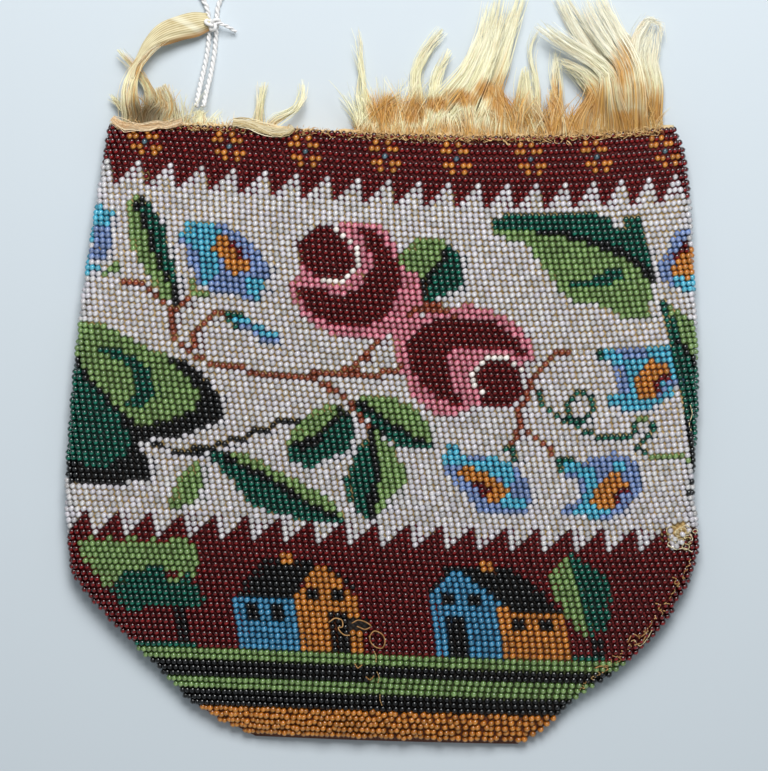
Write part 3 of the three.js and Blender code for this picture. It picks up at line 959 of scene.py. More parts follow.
# %% [markdown]
# ## The village
#
# Two houses and two trees stand on the dark band. Each house shows a gable with two windows and a door,
# and a long side with two windows under a black roof. Gables, roofs and the crowns of the trees slant, so
# they are fields. Long sides, chimneys and trunks are straight, which makes blocks the quickest way, and
# the windows and doors of both houses are set last, by loops.

# %% Houses and trees
GABLE_WINDOWS = (32, 36, 53, 57)
SIDE_WINDOWS = ((22, 108), (26, 108), (63, 109), (67, 109))
DOORS = (35, 53)
GABLE_WINDOW_TOP = 105
SIDE_WINDOW_FOOT = 110
DOOR_TOP = 109
field(LEAF, [(-3, 98), (15, 98), (15, 101), (14, 103), (10, 102), (5, 102), (1, 105), (-1, 105), (-3, 101)])
for tuft in (-1, 2, 5, 6, 9, 12, 13, 14):
    run(LEAF, [(tuft, 97), (tuft, 97)])
field(TEAL, [(3, 103), (9, 102), (10, 104), (13, 103), (15, 107), (14, 108), (8, 108), (2, 109), (0, 106)])
run(LEAF, [(10, 104), (11, 104), (12, 103)])
block(BLACK, 10, 109, 11, 114)

field(BLACK, [(26, 100), (33, 100), (33, 101), (31, 103), (29, 106), (21, 106), (22, 104)])
block(BLUE, 20, 107, 29, 115)
field(OCHRE, [(34, 101), (35, 101), (39, 106), (39, 115), (30, 115), (30, 106)])
run(BLACK, [(36, 101), (39, 104)])
block(OCHRE, 29, 99, 30, 100)

field(BLACK, [(54, 100), (64, 100), (67, 103), (69, 106), (70, 107), (63, 107), (60, 105), (57, 101)])
run(BLACK, [(54, 101), (51, 104)])
field(BLUE, [(55, 101), (56, 101), (60, 105), (61, 106), (60, 115), (51, 115), (51, 105)])
block(OCHRE, 61, 108, 70, 115)
block(OCHRE, 61, 107, 62, 107)
block(OCHRE, 60, 99, 61, 100)

for left in GABLE_WINDOWS:
    block(BLACK, left, GABLE_WINDOW_TOP, left + 1, GABLE_WINDOW_TOP + 1)
for left, top in SIDE_WINDOWS:
    block(BLACK, left, top, left + 1, SIDE_WINDOW_FOOT)
for left in DOORS:
    block(BLACK, left, DOOR_TOP, left + 2, VILLAGE_FOOT)

field(LEAF, [(73, 98), (73, 111), (72, 110), (70, 105), (70, 101)])
field(TEAL, [(74, 97), (78, 101), (78, 105), (76, 110), (74, 111)])
block(BLACK, 74, 112, 75, 114)
print("chart done:", np.bincount(chart[FIRST_COURSE:].ravel(), minlength=COLOURS).tolist())

# %% [markdown]
# ## Glass
#
# A seed bead is a short length of drawn glass tube, tumbled until its ends are round. Light enters at
# the top, and the glass gathers it on the far side, so a bead glows opposite its highlight. Glass that
# bends light would do so by itself, but for thousands of beads it is slow and noisy. So the material goes
# by the direction its surface faces: away from the window it turns to the glow colour. Chance makes each
# bead a little lighter or darker than the next.

# %% Bead materials
GLASS_SHINE = 0.9
GLOW_FACING = (0.55, 1.0)
DARKEST_SHADE = 0.72
SHADE_RANGE = 0.5
SHEEN_SHARE = 0.4
SHEEN_TURNS = 7.0
PEARL_SHEEN = paint(216, 209, 226)
AWAY_FROM_LIGHT = (0.1, -0.64, 0.76)
BEAD_LOOKS = {
    PEARL: ("pearl", paint(184, 181, 180), paint(250, 249, 246), 0.08),
    GARNET: ("garnet", paint(50, 3, 5), paint(150, 15, 16), 0.07),
    BLACK: ("black", paint(4, 4, 5), paint(14, 13, 14), 0.07),
    LEAF: ("leaf", paint(98, 128, 70), paint(158, 188, 118), 0.16),
    TEAL: ("teal", paint(4, 48, 39), paint(24, 132, 106), 0.07),
    TURQUOISE: ("turquoise", paint(60, 156, 184), paint(118, 208, 228), 0.14),
    LAVENDER: ("lavender", paint(102, 125, 174), paint(160, 178, 216), 0.14),
    BLUE: ("blue", paint(46, 116, 154), paint(98, 172, 210), 0.14),
    OCHRE: ("ochre", paint(178, 105, 32), paint(228, 157, 70), 0.16),
    PINK: ("pink", paint(190, 104, 122), paint(238, 164, 174), 0.18),
    CHALK: ("chalk", paint(228, 220, 212), paint(252, 246, 240), 0.2),
    RUST: ("rust", paint(112, 46, 29), paint(182, 94, 57), 0.1),
    SLATE: ("slate", paint(50, 74, 84), paint(106, 136, 150), 0.1),
}


def bead_glass(name, body, glow, roughness):
    """Glass that is lit through, with a shade for each bead."""
    made, shader, start = material(name + "_glass", roughness)
    chance = start.node("ShaderNodeNewGeometry", output="Random Per Island")
    facing = start.node("ShaderNodeNewGeometry", output="Normal").dot(AWAY_FROM_LIGHT)
    lit = facing.ramp(*GLOW_FACING)
    shade = lit.mix(body, glow).scale(DARKEST_SHADE + SHADE_RANGE * chance)
    if name == "pearl":
        shade = (SHEEN_SHARE * chance.math("MODULO", SHEEN_TURNS * chance, 1.0)).mix(shade, PEARL_SHEEN)
    start.feed(shade, shader.inputs["Base Color"])
    shader.inputs["Specular IOR Level"].default_value = GLASS_SHINE
    return made


glass = {bead: bead_glass(*look) for bead, look in BEAD_LOOKS.items()}
print(len(glass), "colours of glass")

# %% [markdown]
# ## One bead
#
# A bead is a barrel about its thread hole: rings of points round the hole, closed by a point at either end.
# A finer barrel would look no different from where we stand, and twenty thousand of them add up. The beads
# underneath, which lie on the table, are simpler still.

# %% One bead
FRONT_BEAD = (7, [(-0.7, 0.84), (0.0, 1.0), (0.7, 0.84)])
BACK_BEAD = (5, [(-0.55, 0.96), (0.55, 0.96)])


def barrel(sides, rings):
    """Points, triangles and sheet corners of one bead of unit size, its hole along the third axis."""
    angle = np.arange(sides) * 2 * math.pi / sides
    points = [(radius * math.cos(a), radius * math.sin(a), level) for level, radius in rings for a in angle]
    points += [(0, 0, -1), (0, 0, 1)]
    low, high = len(points) - 2, len(points) - 1
    last, step = len(points) - 2 - sides, 1 / (len(rings) + 1)
    triangles, sheet = [], []
    for j in range(sides):
        k = (j + 1) % sides
        u, v = j / sides, (j + 1) / sides
        triangles.append((low, k, j))
        sheet += [((u + v) / 2, 0), (v, step), (u, step)]
        for i in range(len(rings) - 1):
            a, b = i * sides + j, i * sides + k
            below, above = step * (i + 1), step * (i + 2)
            triangles += [(a, b, b + sides), (a, b + sides, a + sides)]
            sheet += [(u, below), (v, below), (v, above), (u, below), (v, above), (u, above)]
        triangles.append((high, last + j, last + k))
        sheet += [((u + v) / 2, 1), (u, 1 - step), (v, 1 - step)]
    return np.array(points), np.array(triangles), np.array(sheet)


for side, form in (("front", FRONT_BEAD), ("back", BACK_BEAD)):
    print(f"a {side} bead has {len(barrel(*form)[1])} triangles")

# %% [markdown]
# ## Where the stitches lie
#
# Which stitch of the chart lies on either fold was counted at a few courses. The back goes on where the
# front ends, up to the seam, where the corners of the tube are tucked in. A bead needs its place and three
# directions: along the course, up the column and out of the cloth. Instances on the faces of a grid would
# give them too, but the courses are bent, so we ask the course lines a little way to each side. Two small
# gaps are kept where beads have dropped off. Each names the bead colour whose ground look shows there:
# black paints shade into the hole by the left house, and pearl leaves plain silk in the other.

# %% Stitches on the folds
CHANCE_SEED = 1830
rng = np.random.default_rng(CHANCE_SEED)
BEAD_DEPTH = 0.92
NEAR_SHARE = 0.004
NEAR_COURSE = 0.4
BASE_LOOSENESS = 0.17 * MM
SEAM_COURSE = 104
STRIPES_END = 125
LEFT_STITCH = [
    (24, 12.3), (32, 8.9), (40, 6.9), (56, 3.7), (76, -0.7), (98, -5.1), (104, -6), (109, -3.4),
    (120, 5), (131, 13),
]
RIGHT_STITCH = [
    (24, 110.1), (32, 107.2), (40, 104.8), (56, 101.9), (76, 98), (90, 95.1), (98, 93.5), (104, 89.5),
    (109, 85.4), (120, 74.4), (131, 63.4),
]
STITCH_SHIFT = [
    (24, 4.2), (30, 2.5), (38, 0.9), (60, 0.5), (86, 0.6), (98, -0.5), (108, -1.8), (120, -2.3), (131, -3.6),
]
# Gaps: middle stitch and course, half sizes, and the colour whose ground look shows there. Black paints shade
# into the hole by the left house.
MISSING = [(38.6, 110.5, 1.6, 1.1, BLACK), (91.5, 93.0, 1.4, 1.2, PEARL)]


def on_folds(course, side):
    """Stitches of the chart on the two folds of a side, and how far its middle is shifted."""
    left, right = smooth(LEFT_STITCH, course), smooth(RIGHT_STITCH, course)
    if side == "front":
        return left, right, smooth(STITCH_SHIFT, course)
    tucked = min(course, SEAM_COURSE)
    begin = 2 * smooth(RIGHT_STITCH, tucked) - right
    return begin, 2 * smooth(LEFT_STITCH, tucked) - left + 2 * REPEAT, 0.0


def stitches(side):
    """Every bead of a side: chart colour, course, place, and the directions along, up and out."""
    rows = []
    for course in range(FIRST_COURSE, LAST_COURSE + 1):
        begin, finish, shift = on_folds(course, side)
        number = np.arange(math.ceil(begin), math.ceil(finish))
        if side == "front":
            for c, r, wide, high, _ in MISSING:
                number = number[np.hypot((number - c) / wide, (course - r) / high) > 1]
        share = (number - begin) / (finish - begin)
        share += 4 * share * (1 - share) * shift / (finish - begin)
        place = course_line(course, side, BEAD_DEPTH, share)
        if side == "front" and course > STRIPES_END:
            place = place + rng.normal(0, BASE_LOOSENESS, place.shape)
        ahead = course_line(course, side, BEAD_DEPTH, np.clip(share + NEAR_SHARE, 0, 1))
        behind = course_line(course, side, BEAD_DEPTH, np.clip(share - NEAR_SHARE, 0, 1))
        above = course_line(course - NEAR_COURSE, side, BEAD_DEPTH, share)
        below = course_line(course + NEAR_COURSE, side, BEAD_DEPTH, share)
        colour = chart[course, number % REPEAT]
        rows.append((colour, np.full(len(number), course), place, ahead - behind, above - below))
    colour, course, place, forward, upward = (np.concatenate(part) for part in zip(*rows))
    forward = unit(forward)
    outward = unit(np.cross(forward, upward))
    return colour, course, place, forward, np.cross(outward, forward), outward


for side in ("front", "back"):
    begin, finish, _ = on_folds(MIDDLE_COURSE, side)
    print(f"the middle course has {finish - begin:.0f} stitches on the {side}")

# %% [markdown]
# ## A bead in every stitch
#
# The knitting thread leans, so the barrels all lie slanted. One barrel is copied to every stitch, each a
# little off in lean, size and place, because no two beads were cut alike. Beads of one colour, side and
# half of the bag make one piece, which keeps the pieces few and none of them too large.

# %% Beads
BEAD_RADIUS = 0.92 * MM
BEAD_HALF = 0.76 * MM
BEAD_LEAN = math.radians(38)
LEAN_SPREAD = 0.12
SIZE_SPREAD = 0.035
PLACE_SPREAD = 0.05 * MM
CELL_EDGE = 0.06
HALVES = {"upper": (0, 60), "lower": (61, 200)}


def bead_piece(name, look, form, place, forward, upward, outward):
    """Beads of one colour as one piece, from their places and three directions."""
    shape, triangles, sheet = barrel(*form)
    count = len(place)
    lean = BEAD_LEAN + rng.normal(0, LEAN_SPREAD, count)
    size = 1 + rng.normal(0, SIZE_SPREAD, (count, 3))
    broad = forward * np.cos(lean)[:, None] + upward * np.sin(lean)[:, None]
    hole = upward * np.cos(lean)[:, None] - forward * np.sin(lean)[:, None]
    nudge = rng.normal(0, PLACE_SPREAD, (count, 2))
    middle = place + forward * nudge[:, :1] + upward * nudge[:, 1:]
    points = middle[:, None] + (
        shape[None, :, 0:1] * (broad * size[:, 0:1])[:, None] * BEAD_RADIUS
        + shape[None, :, 1:2] * (outward * size[:, 1:2])[:, None] * BEAD_RADIUS
        + shape[None, :, 2:3] * (hole * size[:, 2:3])[:, None] * -BEAD_HALF
    )
    cells = math.ceil(math.sqrt(count))
    corner = np.stack([np.arange(count) % cells, np.arange(count) // cells], axis=1)
    sheets = (corner[:, None] + CELL_EDGE + (1 - 2 * CELL_EDGE) * sheet[None]) / cells
    faces = triangles[None] + np.arange(count)[:, None, None] * len(shape)
    points, faces, sheets = points.reshape(-1, 3), faces.reshape(-1, 3), sheets.reshape(-1, 2)
    add_piece(name, points, faces, look, sheets)


bead_total = 0
for side, form in (("front", FRONT_BEAD), ("back", BACK_BEAD)):
    colour, course, *lattice = stitches(side)
    for bead, (name, *_) in BEAD_LOOKS.items():
        for zone, (top, bottom) in HALVES.items():
            mine = (colour == bead) & (course >= top) & (course <= bottom)
            if not mine.any():
                continue
            bead_piece(f"{name}_beads_{side}_{zone}", glass[bead], form, *(part[mine] for part in lattice))
            bead_total += int(mine.sum())
print(bead_total, "beads")

# %% [markdown]
# ## Light through the glass
#
# Light that reaches the silk has come through the beads, so the ground takes a dark shade of the colour
# above it: wine red under garnet, olive under leaf green, pale tan under the clear pearls. Clear beads
# would tint it by themselves, but slowly. Instead each face of the ground's outside, about two stitches
# wide, wears the shade of the bead that covers it, and wine red if any bead near it is garnet, because
# that colour spreads farthest.

# %% Tint the ground
NEAR_STITCH = 0.6
HOLE_SPREAD = 2
TINTS = [
    ((GARNET, SLATE), paint(72, 8, 11), paint(126, 24, 22)),
    ((BLACK,), paint(12, 9, 7), paint(36, 26, 18)),
    ((LEAF,), paint(44, 54, 22), paint(84, 94, 46)),
    ((TEAL,), paint(6, 22, 18), paint(16, 46, 38)),
    ((TURQUOISE, LAVENDER, BLUE), paint(18, 34, 54), paint(46, 72, 98)),
    ((OCHRE, RUST, PINK), paint(72, 32, 12), paint(128, 66, 32)),
]
tint_of = np.zeros(len(BEAD_LOOKS), int)
for index, (colours, dark, light) in enumerate(TINTS, 1):
    tint_of[list(colours)] = index
    ground.data.materials.append(knitted_ground(f"tinted_silk_{index}", *ground_weave, dark, light))
tints = np.zeros((2 * len(courses) - 3, 2 * len(RING_SHARES)), int)
middles = RING_SHARES + 0.5 / len(RING_SHARES)
for row, course in enumerate(courses[:-1]):
    for start, side in ((0, "front"), (len(RING_SHARES), "back")):
        begin, finish, shift = on_folds(course + 0.5, side)
        number = begin + middles * (finish - begin) - 4 * middles * (1 - middles) * shift
        asides = (0, -NEAR_STITCH, NEAR_STITCH)
        near = [(int(course) + down, number + aside) for down in (0, 1) for aside in asides]
        near = np.array([chart[line, np.floor(stitch).astype(int) % REPEAT] for line, stitch in near])
        colours = np.where((near == GARNET).any(0), GARNET, near[0])
        # In a gap the ground takes the look of its listed colour; black is painted shade in the hole.
        for c, r, wide, high, gap_colour in MISSING:
            colours[np.hypot((number - c) / wide, (course - r) / high) < HOLE_SPREAD] = gap_colour
        tints[len(courses) - 2 + row, start:start + len(middles)] = tint_of[colours]
faces = np.zeros(len(ground.data.polygons), np.int32)
faces[:2 * tints.size] = np.repeat(tints.ravel(), 2)
ground.data.polygons.foreach_set("material_index", faces)
ground.data.update()
print("ground faces of each tint:", np.bincount(faces).tolist())

# %% [markdown]
# ## The torn silk heading
#
# Above the beads the silk was once a plain band. Its weft has gone, so only a hem and locks of bare warp
# are left. The locks follow the guides of the packed part: where each is rooted along the mouth, its widths
# from root to tip, and the way it lies, as steps to the side and up from its root and a height over the
# table. Two wisps of their own join them at the right. Guides keep every tear where it is, which combed
# particle hair would not.

# %% Guides of the locks
MOUTH_LEFT = -70.35
MOUTH_RIGHT = 75.35
RIM_SAMPLES = 200
LOCKS = [
    ("front", 0.013, (4.4, 3.6, 1.4, 0.7), [(-0.8, 7.2, 8), (0.2, 14.8, 6), (3.8, 21, 5), (8, 25, 4.4)]),
    ("back", 0.036, (4.4, 2.4, 0.8, 0.4), [
        (1.4, 6.6, 2.2), (-0.8, 13.2, 2.4), (-4.4, 17.6, 2.6), (-8, 21.2, 2.6),
    ]),
    ("front", 0.058, (6.6, 5.6, 2), [(1.6, 5, 7.5), (1.6, 9, 5.8), (0.8, 11.4, 4.8)]),
    ("back", 0.007, (1.8, 1.2, 0.4), [(-3.4, 5.8, 2), (-6.3, 9.4, 1.6)]),
    ("front", 0.136, (3, 3, 3), [(0.2, 5.1, 6.8)]),
    ("back", 0.247, (4, 2.6, 0.6), [(0.4, 6.6, 2), (0.8, 13.6, 1.5)]),
    ("front", 0.273, (2.8, 2.2, 2, 0.6), [(2.8, 4.1, 7.5), (6.6, 6.6, 6), (8.5, 10.5, 4), (8.2, 14.6, 2.6)]),
    ("back", 0.456, (3, 2.6, 1.6, 0.5), [(-1.4, 9.3, 2), (-2, 18, 1.6), (-4, 29.8, 1.4)]),
    ("front", 0.487, (9, 6, 2), [(0.6, 5.5, 7), (1.6, 11, 5)]),
    ("front", 0.535, (7, 5, 2), [(0.6, 5.5, 7.4), (1, 10.5, 5)]),
    ("back", 0.548, (3.3, 3, 2.4, 0.8), [(0.3, 9, 2.2), (-0.3, 18.6, 2), (2.8, 24.6, 1.8), (6.9, 29.6, 1.6)]),
    ("front", 0.574, (2.8, 2.4, 0.8), [(0.3, 11.2, 6.6), (1.7, 18.7, 4), (4.8, 24.4, 2.6)]),
    ("front", 0.591, (13, 10.5, 8, 6, 4.6), [
        (1.4, 5, 8), (5, 10.4, 7.2), (9.2, 16.6, 6), (12.9, 25.6, 4.4), (15.7, 36.6, 3), (16.2, 39.8, 2.8),
    ]),
    ("back", 0.645, (7, 6, 3.6, 2.4), [
        (3.9, 11.3, 2.4), (7.4, 20.1, 2.4), (10.2, 28.3, 2.2), (13.2, 36.6, 2), (14, 39.4, 1.8),
    ]),
    ("front", 0.69, (11, 8, 3), [(0.6, 7, 7.6), (0.8, 15, 5.4)]),
    ("back", 0.742, (7, 5, 2), [(0.8, 9, 2.4), (1.4, 20, 2)]),
    ("back", 0.772, (1.6, 1, 0.8, 0.4), [(0.3, 13.5, 2), (-0.5, 27, 1.5), (2.2, 32, 1.4)]),
    ("front", 0.808, (5, 3.4, 1), [(0, 7, 6.8), (-0.6, 14, 4.4)]),
    ("back", 0.814, (2, 1.6, 0.5), [(0.3, 12, 2), (-1, 24.6, 1.5)]),
    ("front", 0.862, (9, 6, 3), [(1.6, 7.5, 7.4), (3.8, 14, 6)]),
    ("back", 0.872, (3, 2.6, 1.6, 0.6), [(1.6, 9.5, 2.2), (-2.6, 16.8, 2), (-7.4, 21.8, 1.8)]),
    ("front", 0.914, (9, 6, 4, 3.2, 3, 2.6), [
        (-0.8, 10.2, 7.6), (-1.4, 17, 6.8), (-5, 20.4, 6.2), (-11.6, 24.8, 5.6), (-19.5, 30.8, 4.6),
    ]),
    ("back", 0.93, (8, 6, 5, 5, 4), [
        (-2.8, 15, 2.6), (-6.3, 22.6, 2.4), (-10.7, 29.4, 2.2), (-15.3, 38.4, 2),
    ]),
    ("front", 0.952, (8, 7, 7, 8.5, 8), [
        (0, 12.5, 6.6), (-1.2, 19, 6), (-5.6, 26.5, 5), (-10, 34.9, 4), (-11.2, 38.6, 3.6),
    ]),
    ("back", 0.985, (6, 5, 5.6, 6, 3), [(0.8, 13, 2.6), (-0.8, 20.6, 2.8), (0.3, 25.8, 3), (1.7, 30.5, 3.2)]),
    ("back", 0.978, (4, 4.6, 4, 2.4), [(0.4, 12, 2.6), (-1.2, 18.4, 2.8), (-3.7, 24, 3), (-7.3, 28, 3.2)]),
]
WISPS = [
    ("front", 0.9, (5, 5, 4, 3, 1.6), [
        (-0.3, 8.2, 6.8), (-1.9, 13.2, 6.2), (-4.7, 16.5, 5.4), (-8.8, 19.2, 4.4), (-12.1, 20.6, 3.6),
    ]),
    ("back", 0.985, (2, 1.8, 1.6, 1.6, 1.8, 1.4, 0.8), [
        (-1.1, 8.3, 3), (-2.5, 15.9, 3.2), (-3.9, 22.6, 3.4), (-2.5, 28.1, 3.6), (0.8, 31.4, 3.6),
        (3.6, 29.7, 3.2), (3.9, 24.7, 2.6),
    ]),
]


def on_mouth(share, side):
    """Places on the rim, in millimetres, at shares of the way along the mouth."""
    rim = course_line(FIRST_COURSE, side, GROUND_DEPTH, np.linspace(0, 1, RIM_SAMPLES)) / MM
    rim = rim[np.argsort(rim[:, 0])]
    x = MOUTH_LEFT + (MOUTH_RIGHT - MOUTH_LEFT) * np.asarray(share)
    return np.stack([x, np.interp(x, rim[:, 0], rim[:, 1]), np.interp(x, rim[:, 0], rim[:, 2])], axis=-1)


print(f"{len(LOCKS)} locks and {len(WISPS)} wisps along {MOUTH_RIGHT - MOUTH_LEFT:.0f} mm of mouth")

# %% [markdown]
# ## Aged silk
#
# Fresh silk is cream, and paler toward the tips. Where damp and dust reached it, near the rim, it has gone
# golden brown. A painted picture could hold the stains, but soft spots, each with a place and a size in
# millimetres and a depth of colour, melt into one another and never show a grain. One golden spot is
# painted shade between strands, not a stain, and darker spots are painted shade at the foot, where folds
# and locks shadow it. Every fibre is a shade of its own, so each loose island of the mesh draws a chance
# value.

# %% Silk of the locks
PALE_CREAM = paint(250, 248, 224)
WHITE_SILK = paint(250, 248, 240)
LIGHT_STAIN = paint(222, 178, 100)
# Colour of the painted shade at the foot of the locks.
PAINTED_SHADE_SILK = paint(92, 66, 34)
SILK_ROUGHNESS = 0.45
SILK_SHINE = 0.3
SPOT_EDGE = (0.3, 1.6)
RIM_LINE = (0.0875, 0.0815)
RIM_STAIN = 0.75
STAIN_GRAIN = 260.0
STAIN_MOTTLE = 0.6
STAIN_RANGE = (0.05, 1.0)
FIBRE_MOTTLE = 0.9
PALE_TIPS = (0.092, 0.11)
PALE_SHARE = 0.6
WHITE_SIDE = (0.035, 0.055)
WHITE_SHARE = 0.4
# Painted shade where folds and locks shadow the foot of the silk: place and size in mm, and depth.
PAINTED_SHADE_SPOTS = [(-65.4, 86.6, 5, 4, 0.8), (66, 86, 12, 7, 0.3), (38, 84.5, 14, 3, 0.12), (-60, 88, 9, 6, 0.3)]
# Golden stains: place and size in mm, and depth. The spot at 24.2 mm across is painted shade between strands.
STAINS_AND_SHADE = [
    (0.5, 88, 5.5, 5.5, 1), (8, 87.5, 4.5, 4.5, 1), (14.6, 89.4, 4, 2.4, 1), (22, 91.2, 5, 2.6, 1),
    (29, 93.4, 4.5, 3, 1), (33.3, 90.2, 4.5, 8, 1), (37.7, 85.3, 6, 8, 0.8), (46.8, 86.4, 4, 9, 1),
    (53.6, 85.8, 6, 7, 1), (58, 89.3, 4.5, 6, 1), (65.7, 98.5, 3.5, 7, 0.7), (66.6, 84.7, 10, 4, 1),
    (74.8, 88, 3, 6, 1), (-68, 88, 5, 9, 0.5), (-66, 102, 5, 9, 0.5), (-60, 108, 8, 5, 0.4),
    (-50, 111, 9, 5, 0.3), (-60, 90, 5, 6, 0.5), (65, 90.5, 4.5, 6, 0.6), (70.4, 92, 4, 6, 0.55),
    (24.2, 86.4, 4, 2.6, 0.4), (41.5, 87, 3.5, 5, 0.7),
]

# Where the strands cross, the string is tied in an overhand knot with one cut end. That knot is a trefoil, a
# closed line that goes over and under itself three times, and three sines draw it exactly, which is surer
# than pulling a curve into shape by eye.

def soft_spot(place, x, y, wide, high):
    """One in the middle of a spot on the table, in millimetres, melting to nought round it."""
    spread, middle = (1 / (wide * MM), 1 / (high * MM), 0), (-x / wide, -y / high, 0)
    away = place.vector("MULTIPLY_ADD", {0: place, 1: spread, 2: middle})
    return 1 - away.vector("LENGTH", {0: away}, "Value").ramp(*SPOT_EDGE)


def torn_silk(name):
    """Silk fibres: cream, golden stains and rim line, painted shade at the foot and between strands."""
    made, shader, start = material(name, SILK_ROUGHNESS)
    shader.inputs["Specular IOR Level"].default_value = SILK_SHINE
    chance = start.node("ShaderNodeNewGeometry", output="Random Per Island")
    place = start.node("ShaderNodeTexCoord", output="Object")
    stain_and_shade = place.part("Y").ramp(*RIM_LINE) * RIM_STAIN
    # Golden stains, and one spot of painted shade between strands.
    for *where, depth in STAINS_AND_SHADE:
        stain_and_shade = stain_and_shade.math("MAXIMUM", stain_and_shade, soft_spot(place, *where) * depth)
    stain_and_shade = stain_and_shade + STAIN_MOTTLE * (noise(start, STAIN_GRAIN) - 0.5) + FIBRE_MOTTLE * (chance - 0.5)
    stain_and_shade = stain_and_shade.ramp(*STAIN_RANGE)
    fresh, golden = chance.mix(CREAM, PALE_CREAM), chance.mix(STAIN, LIGHT_STAIN)
    high = place.part("Y").ramp(*PALE_TIPS)
    fresh = (PALE_SHARE * high).mix(fresh, PALE_CREAM)
    fresh = (WHITE_SHARE * high * place.part("X").ramp(*WHITE_SIDE)).mix(fresh, WHITE_SILK)
    aged_and_shaded = stain_and_shade.mix(fresh, golden)
    # Painted shade at the foot of the locks.
    for *where, depth in PAINTED_SHADE_SPOTS:
        aged_and_shaded = (depth * soft_spot(place, *where)).mix(aged_and_shaded, PAINTED_SHADE_SILK)
    start.feed(aged_and_shaded, shader.inputs["Base Color"])
    return made


heading_look = torn_silk("torn_silk")
print(len(STAINS_AND_SHADE), "stains and", len(PAINTED_SHADE_SPOTS), "shaded places")

# %% [markdown]
# ## Fibres
#
# A lock is a few strands, and a strand is many fibres that wave together and draw to a point. Blender's
# hair could grow them, but a mesh can be measured and exported. A fibre is thinner than a point of the
# picture, so a flat ribbon is enough for it, turned about its line by chance. Along the bare stretch left
# of the middle the locks have few fibres left.

# %% Locks of bare silk
HEM_HEIGHT = 1.8
SPINE_STEPS = 60
FIBRES_PER_MM = 44
SPARSE_FIBRES_PER_MM = 15
SPARSE_STRETCH = (0.2, 0.47)
STRANDS_PER_MM = 1.1
FIBRE_STEPS = 10
FIBRE_WIDTH = 0.2 * MM
FIBRE_TAPER = ([0, 0.6, 1], [1, 0.9, 0.35])
WIDTH_SPREAD = (0.6, 1.3)
ROLL_SPREAD = 0.9
WAVE_TURNS = (3, 9)
WAVE_START = (0, 6)
STRAND_WAVE = 0.5
FIBRE_WAVE = 0.2
STRAND_SEAT = (0.2, 0.8)
STRAND_SPREAD = 0.8
ROOT_SPREAD = 1.3
STRAND_REACH = (0.98, 0.06)
BROKEN_SHARE = 0.09
REACH_LIMITS = (0.4, 1.02)
STRAY_SPREAD = 0.7
STRAY_LIMIT = 1.6
STRAND_RISE = 0.8
FIBRE_RISE = 0.15
TIP_FALL = 0.4
LEAST_HEIGHT = 0.15
steps = np.linspace(0, 1, FIBRE_STEPS)


def ribbons(lines, widths, roll):
    """Flat fibres along many lines, each turned about its line by a roll: points and triangles."""
    count, steps, _ = lines.shape
    level, lift = cross_ways(lines)
    turn = roll[:, None, None]
    edge = (level * np.cos(turn) + lift * np.sin(turn)) * widths[..., None] / 2
    points = np.stack([lines - edge, lines + edge], axis=2)
    a = 2 * np.arange(steps - 1)
    strip = np.stack([a, a + 1, a + 3, a, a + 3, a + 2], axis=-1).reshape(-1, 3)
    triangles = strip[None] + np.arange(count)[:, None, None] * 2 * steps
    return points.reshape(-1, 3), triangles.reshape(-1, 3)


def waves(count, size):
    """Sideways waves of many strands, each with its own length, size and start."""
    turns, start = rng.uniform(*WAVE_TURNS, (count, 1)), rng.uniform(*WAVE_START, (count, 1))
    return rng.normal(0, size, (count, 1)) * np.sin(turns * steps + start)


def lock_fibres(side, share, widths, way):
    """Fibres of one lock, gathered in strands over its width."""
    root = on_mouth(share, side)
    guide = [root, root + [0, HEM_HEIGHT, 0], *([root[0] + dx, root[1] + dy, z] for dx, dy, z in way)]
    spine = along(guide, SPINE_STEPS)
    ahead = np.gradient(spine, axis=0)
    level = np.stack([ahead[:, 1], -ahead[:, 0]], axis=1)
    level /= np.linalg.norm(level, axis=1, keepdims=True) + 1e-9
    width = np.interp(np.linspace(0, 1, SPINE_STEPS), np.linspace(0, 1, len(widths)), widths)
    strands = int(STRANDS_PER_MM * np.mean(widths)) + 2
    sparse = SPARSE_STRETCH[0] < share < SPARSE_STRETCH[1]
    count = int((SPARSE_FIBRES_PER_MM if sparse else FIBRES_PER_MM) * np.mean(widths)) + 12
    strand = rng.integers(strands, size=count)
    seat = ((np.arange(strands) + rng.uniform(*STRAND_SEAT, strands)) / strands - 0.5)[strand]
    spread = rng.normal(0, STRAND_SPREAD / strands, count)
    reach = rng.normal(*STRAND_REACH, strands)[strand] - rng.exponential(BROKEN_SHARE, count)
    at = np.clip(reach, *REACH_LIMITS)[:, None] * steps * (SPINE_STEPS - 1)
    low = np.clip(np.floor(at).astype(int), 0, SPINE_STEPS - 2)
    line = spine[low] + (spine[low + 1] - spine[low]) * (at - low)[..., None]
    wave = waves(strands, STRAND_WAVE)[strand] + waves(count, FIBRE_WAVE)
    off = (seat[:, None] + spread[:, None] * (ROOT_SPREAD - steps)) * width[low] + wave * steps
    off += np.clip(rng.normal(0, STRAY_SPREAD, (count, 1)) ** 3, -STRAY_LIMIT, STRAY_LIMIT) * steps**2
    line[..., :2] += level[low] * off[..., None]
    rise = rng.uniform(-STRAND_RISE, STRAND_RISE, strands)[strand] + rng.normal(0, FIBRE_RISE, count)
    line[..., 2] += rise[:, None] * (1 - TIP_FALL * steps)
    line[..., 2] = np.maximum(line[..., 2], LEAST_HEIGHT)
    return line


def silk_piece(name, lines, look=heading_look):
    """Fibres as one piece of flat ribbons with fine tips."""
    lines = np.concatenate(lines) * MM
    taper = np.interp(steps, *FIBRE_TAPER)
    widths = FIBRE_WIDTH * taper * rng.uniform(*WIDTH_SPREAD, (len(lines), 1))
    points, triangles = ribbons(lines, widths, rng.normal(0, ROLL_SPREAD, len(lines)))
    print(name, len(lines), "fibres")
    return add_piece(name, points, triangles, look)


silk_locks = silk_piece("torn_silk_locks", [lock_fibres(*lock) for lock in LOCKS + WISPS])
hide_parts("silk_heading")

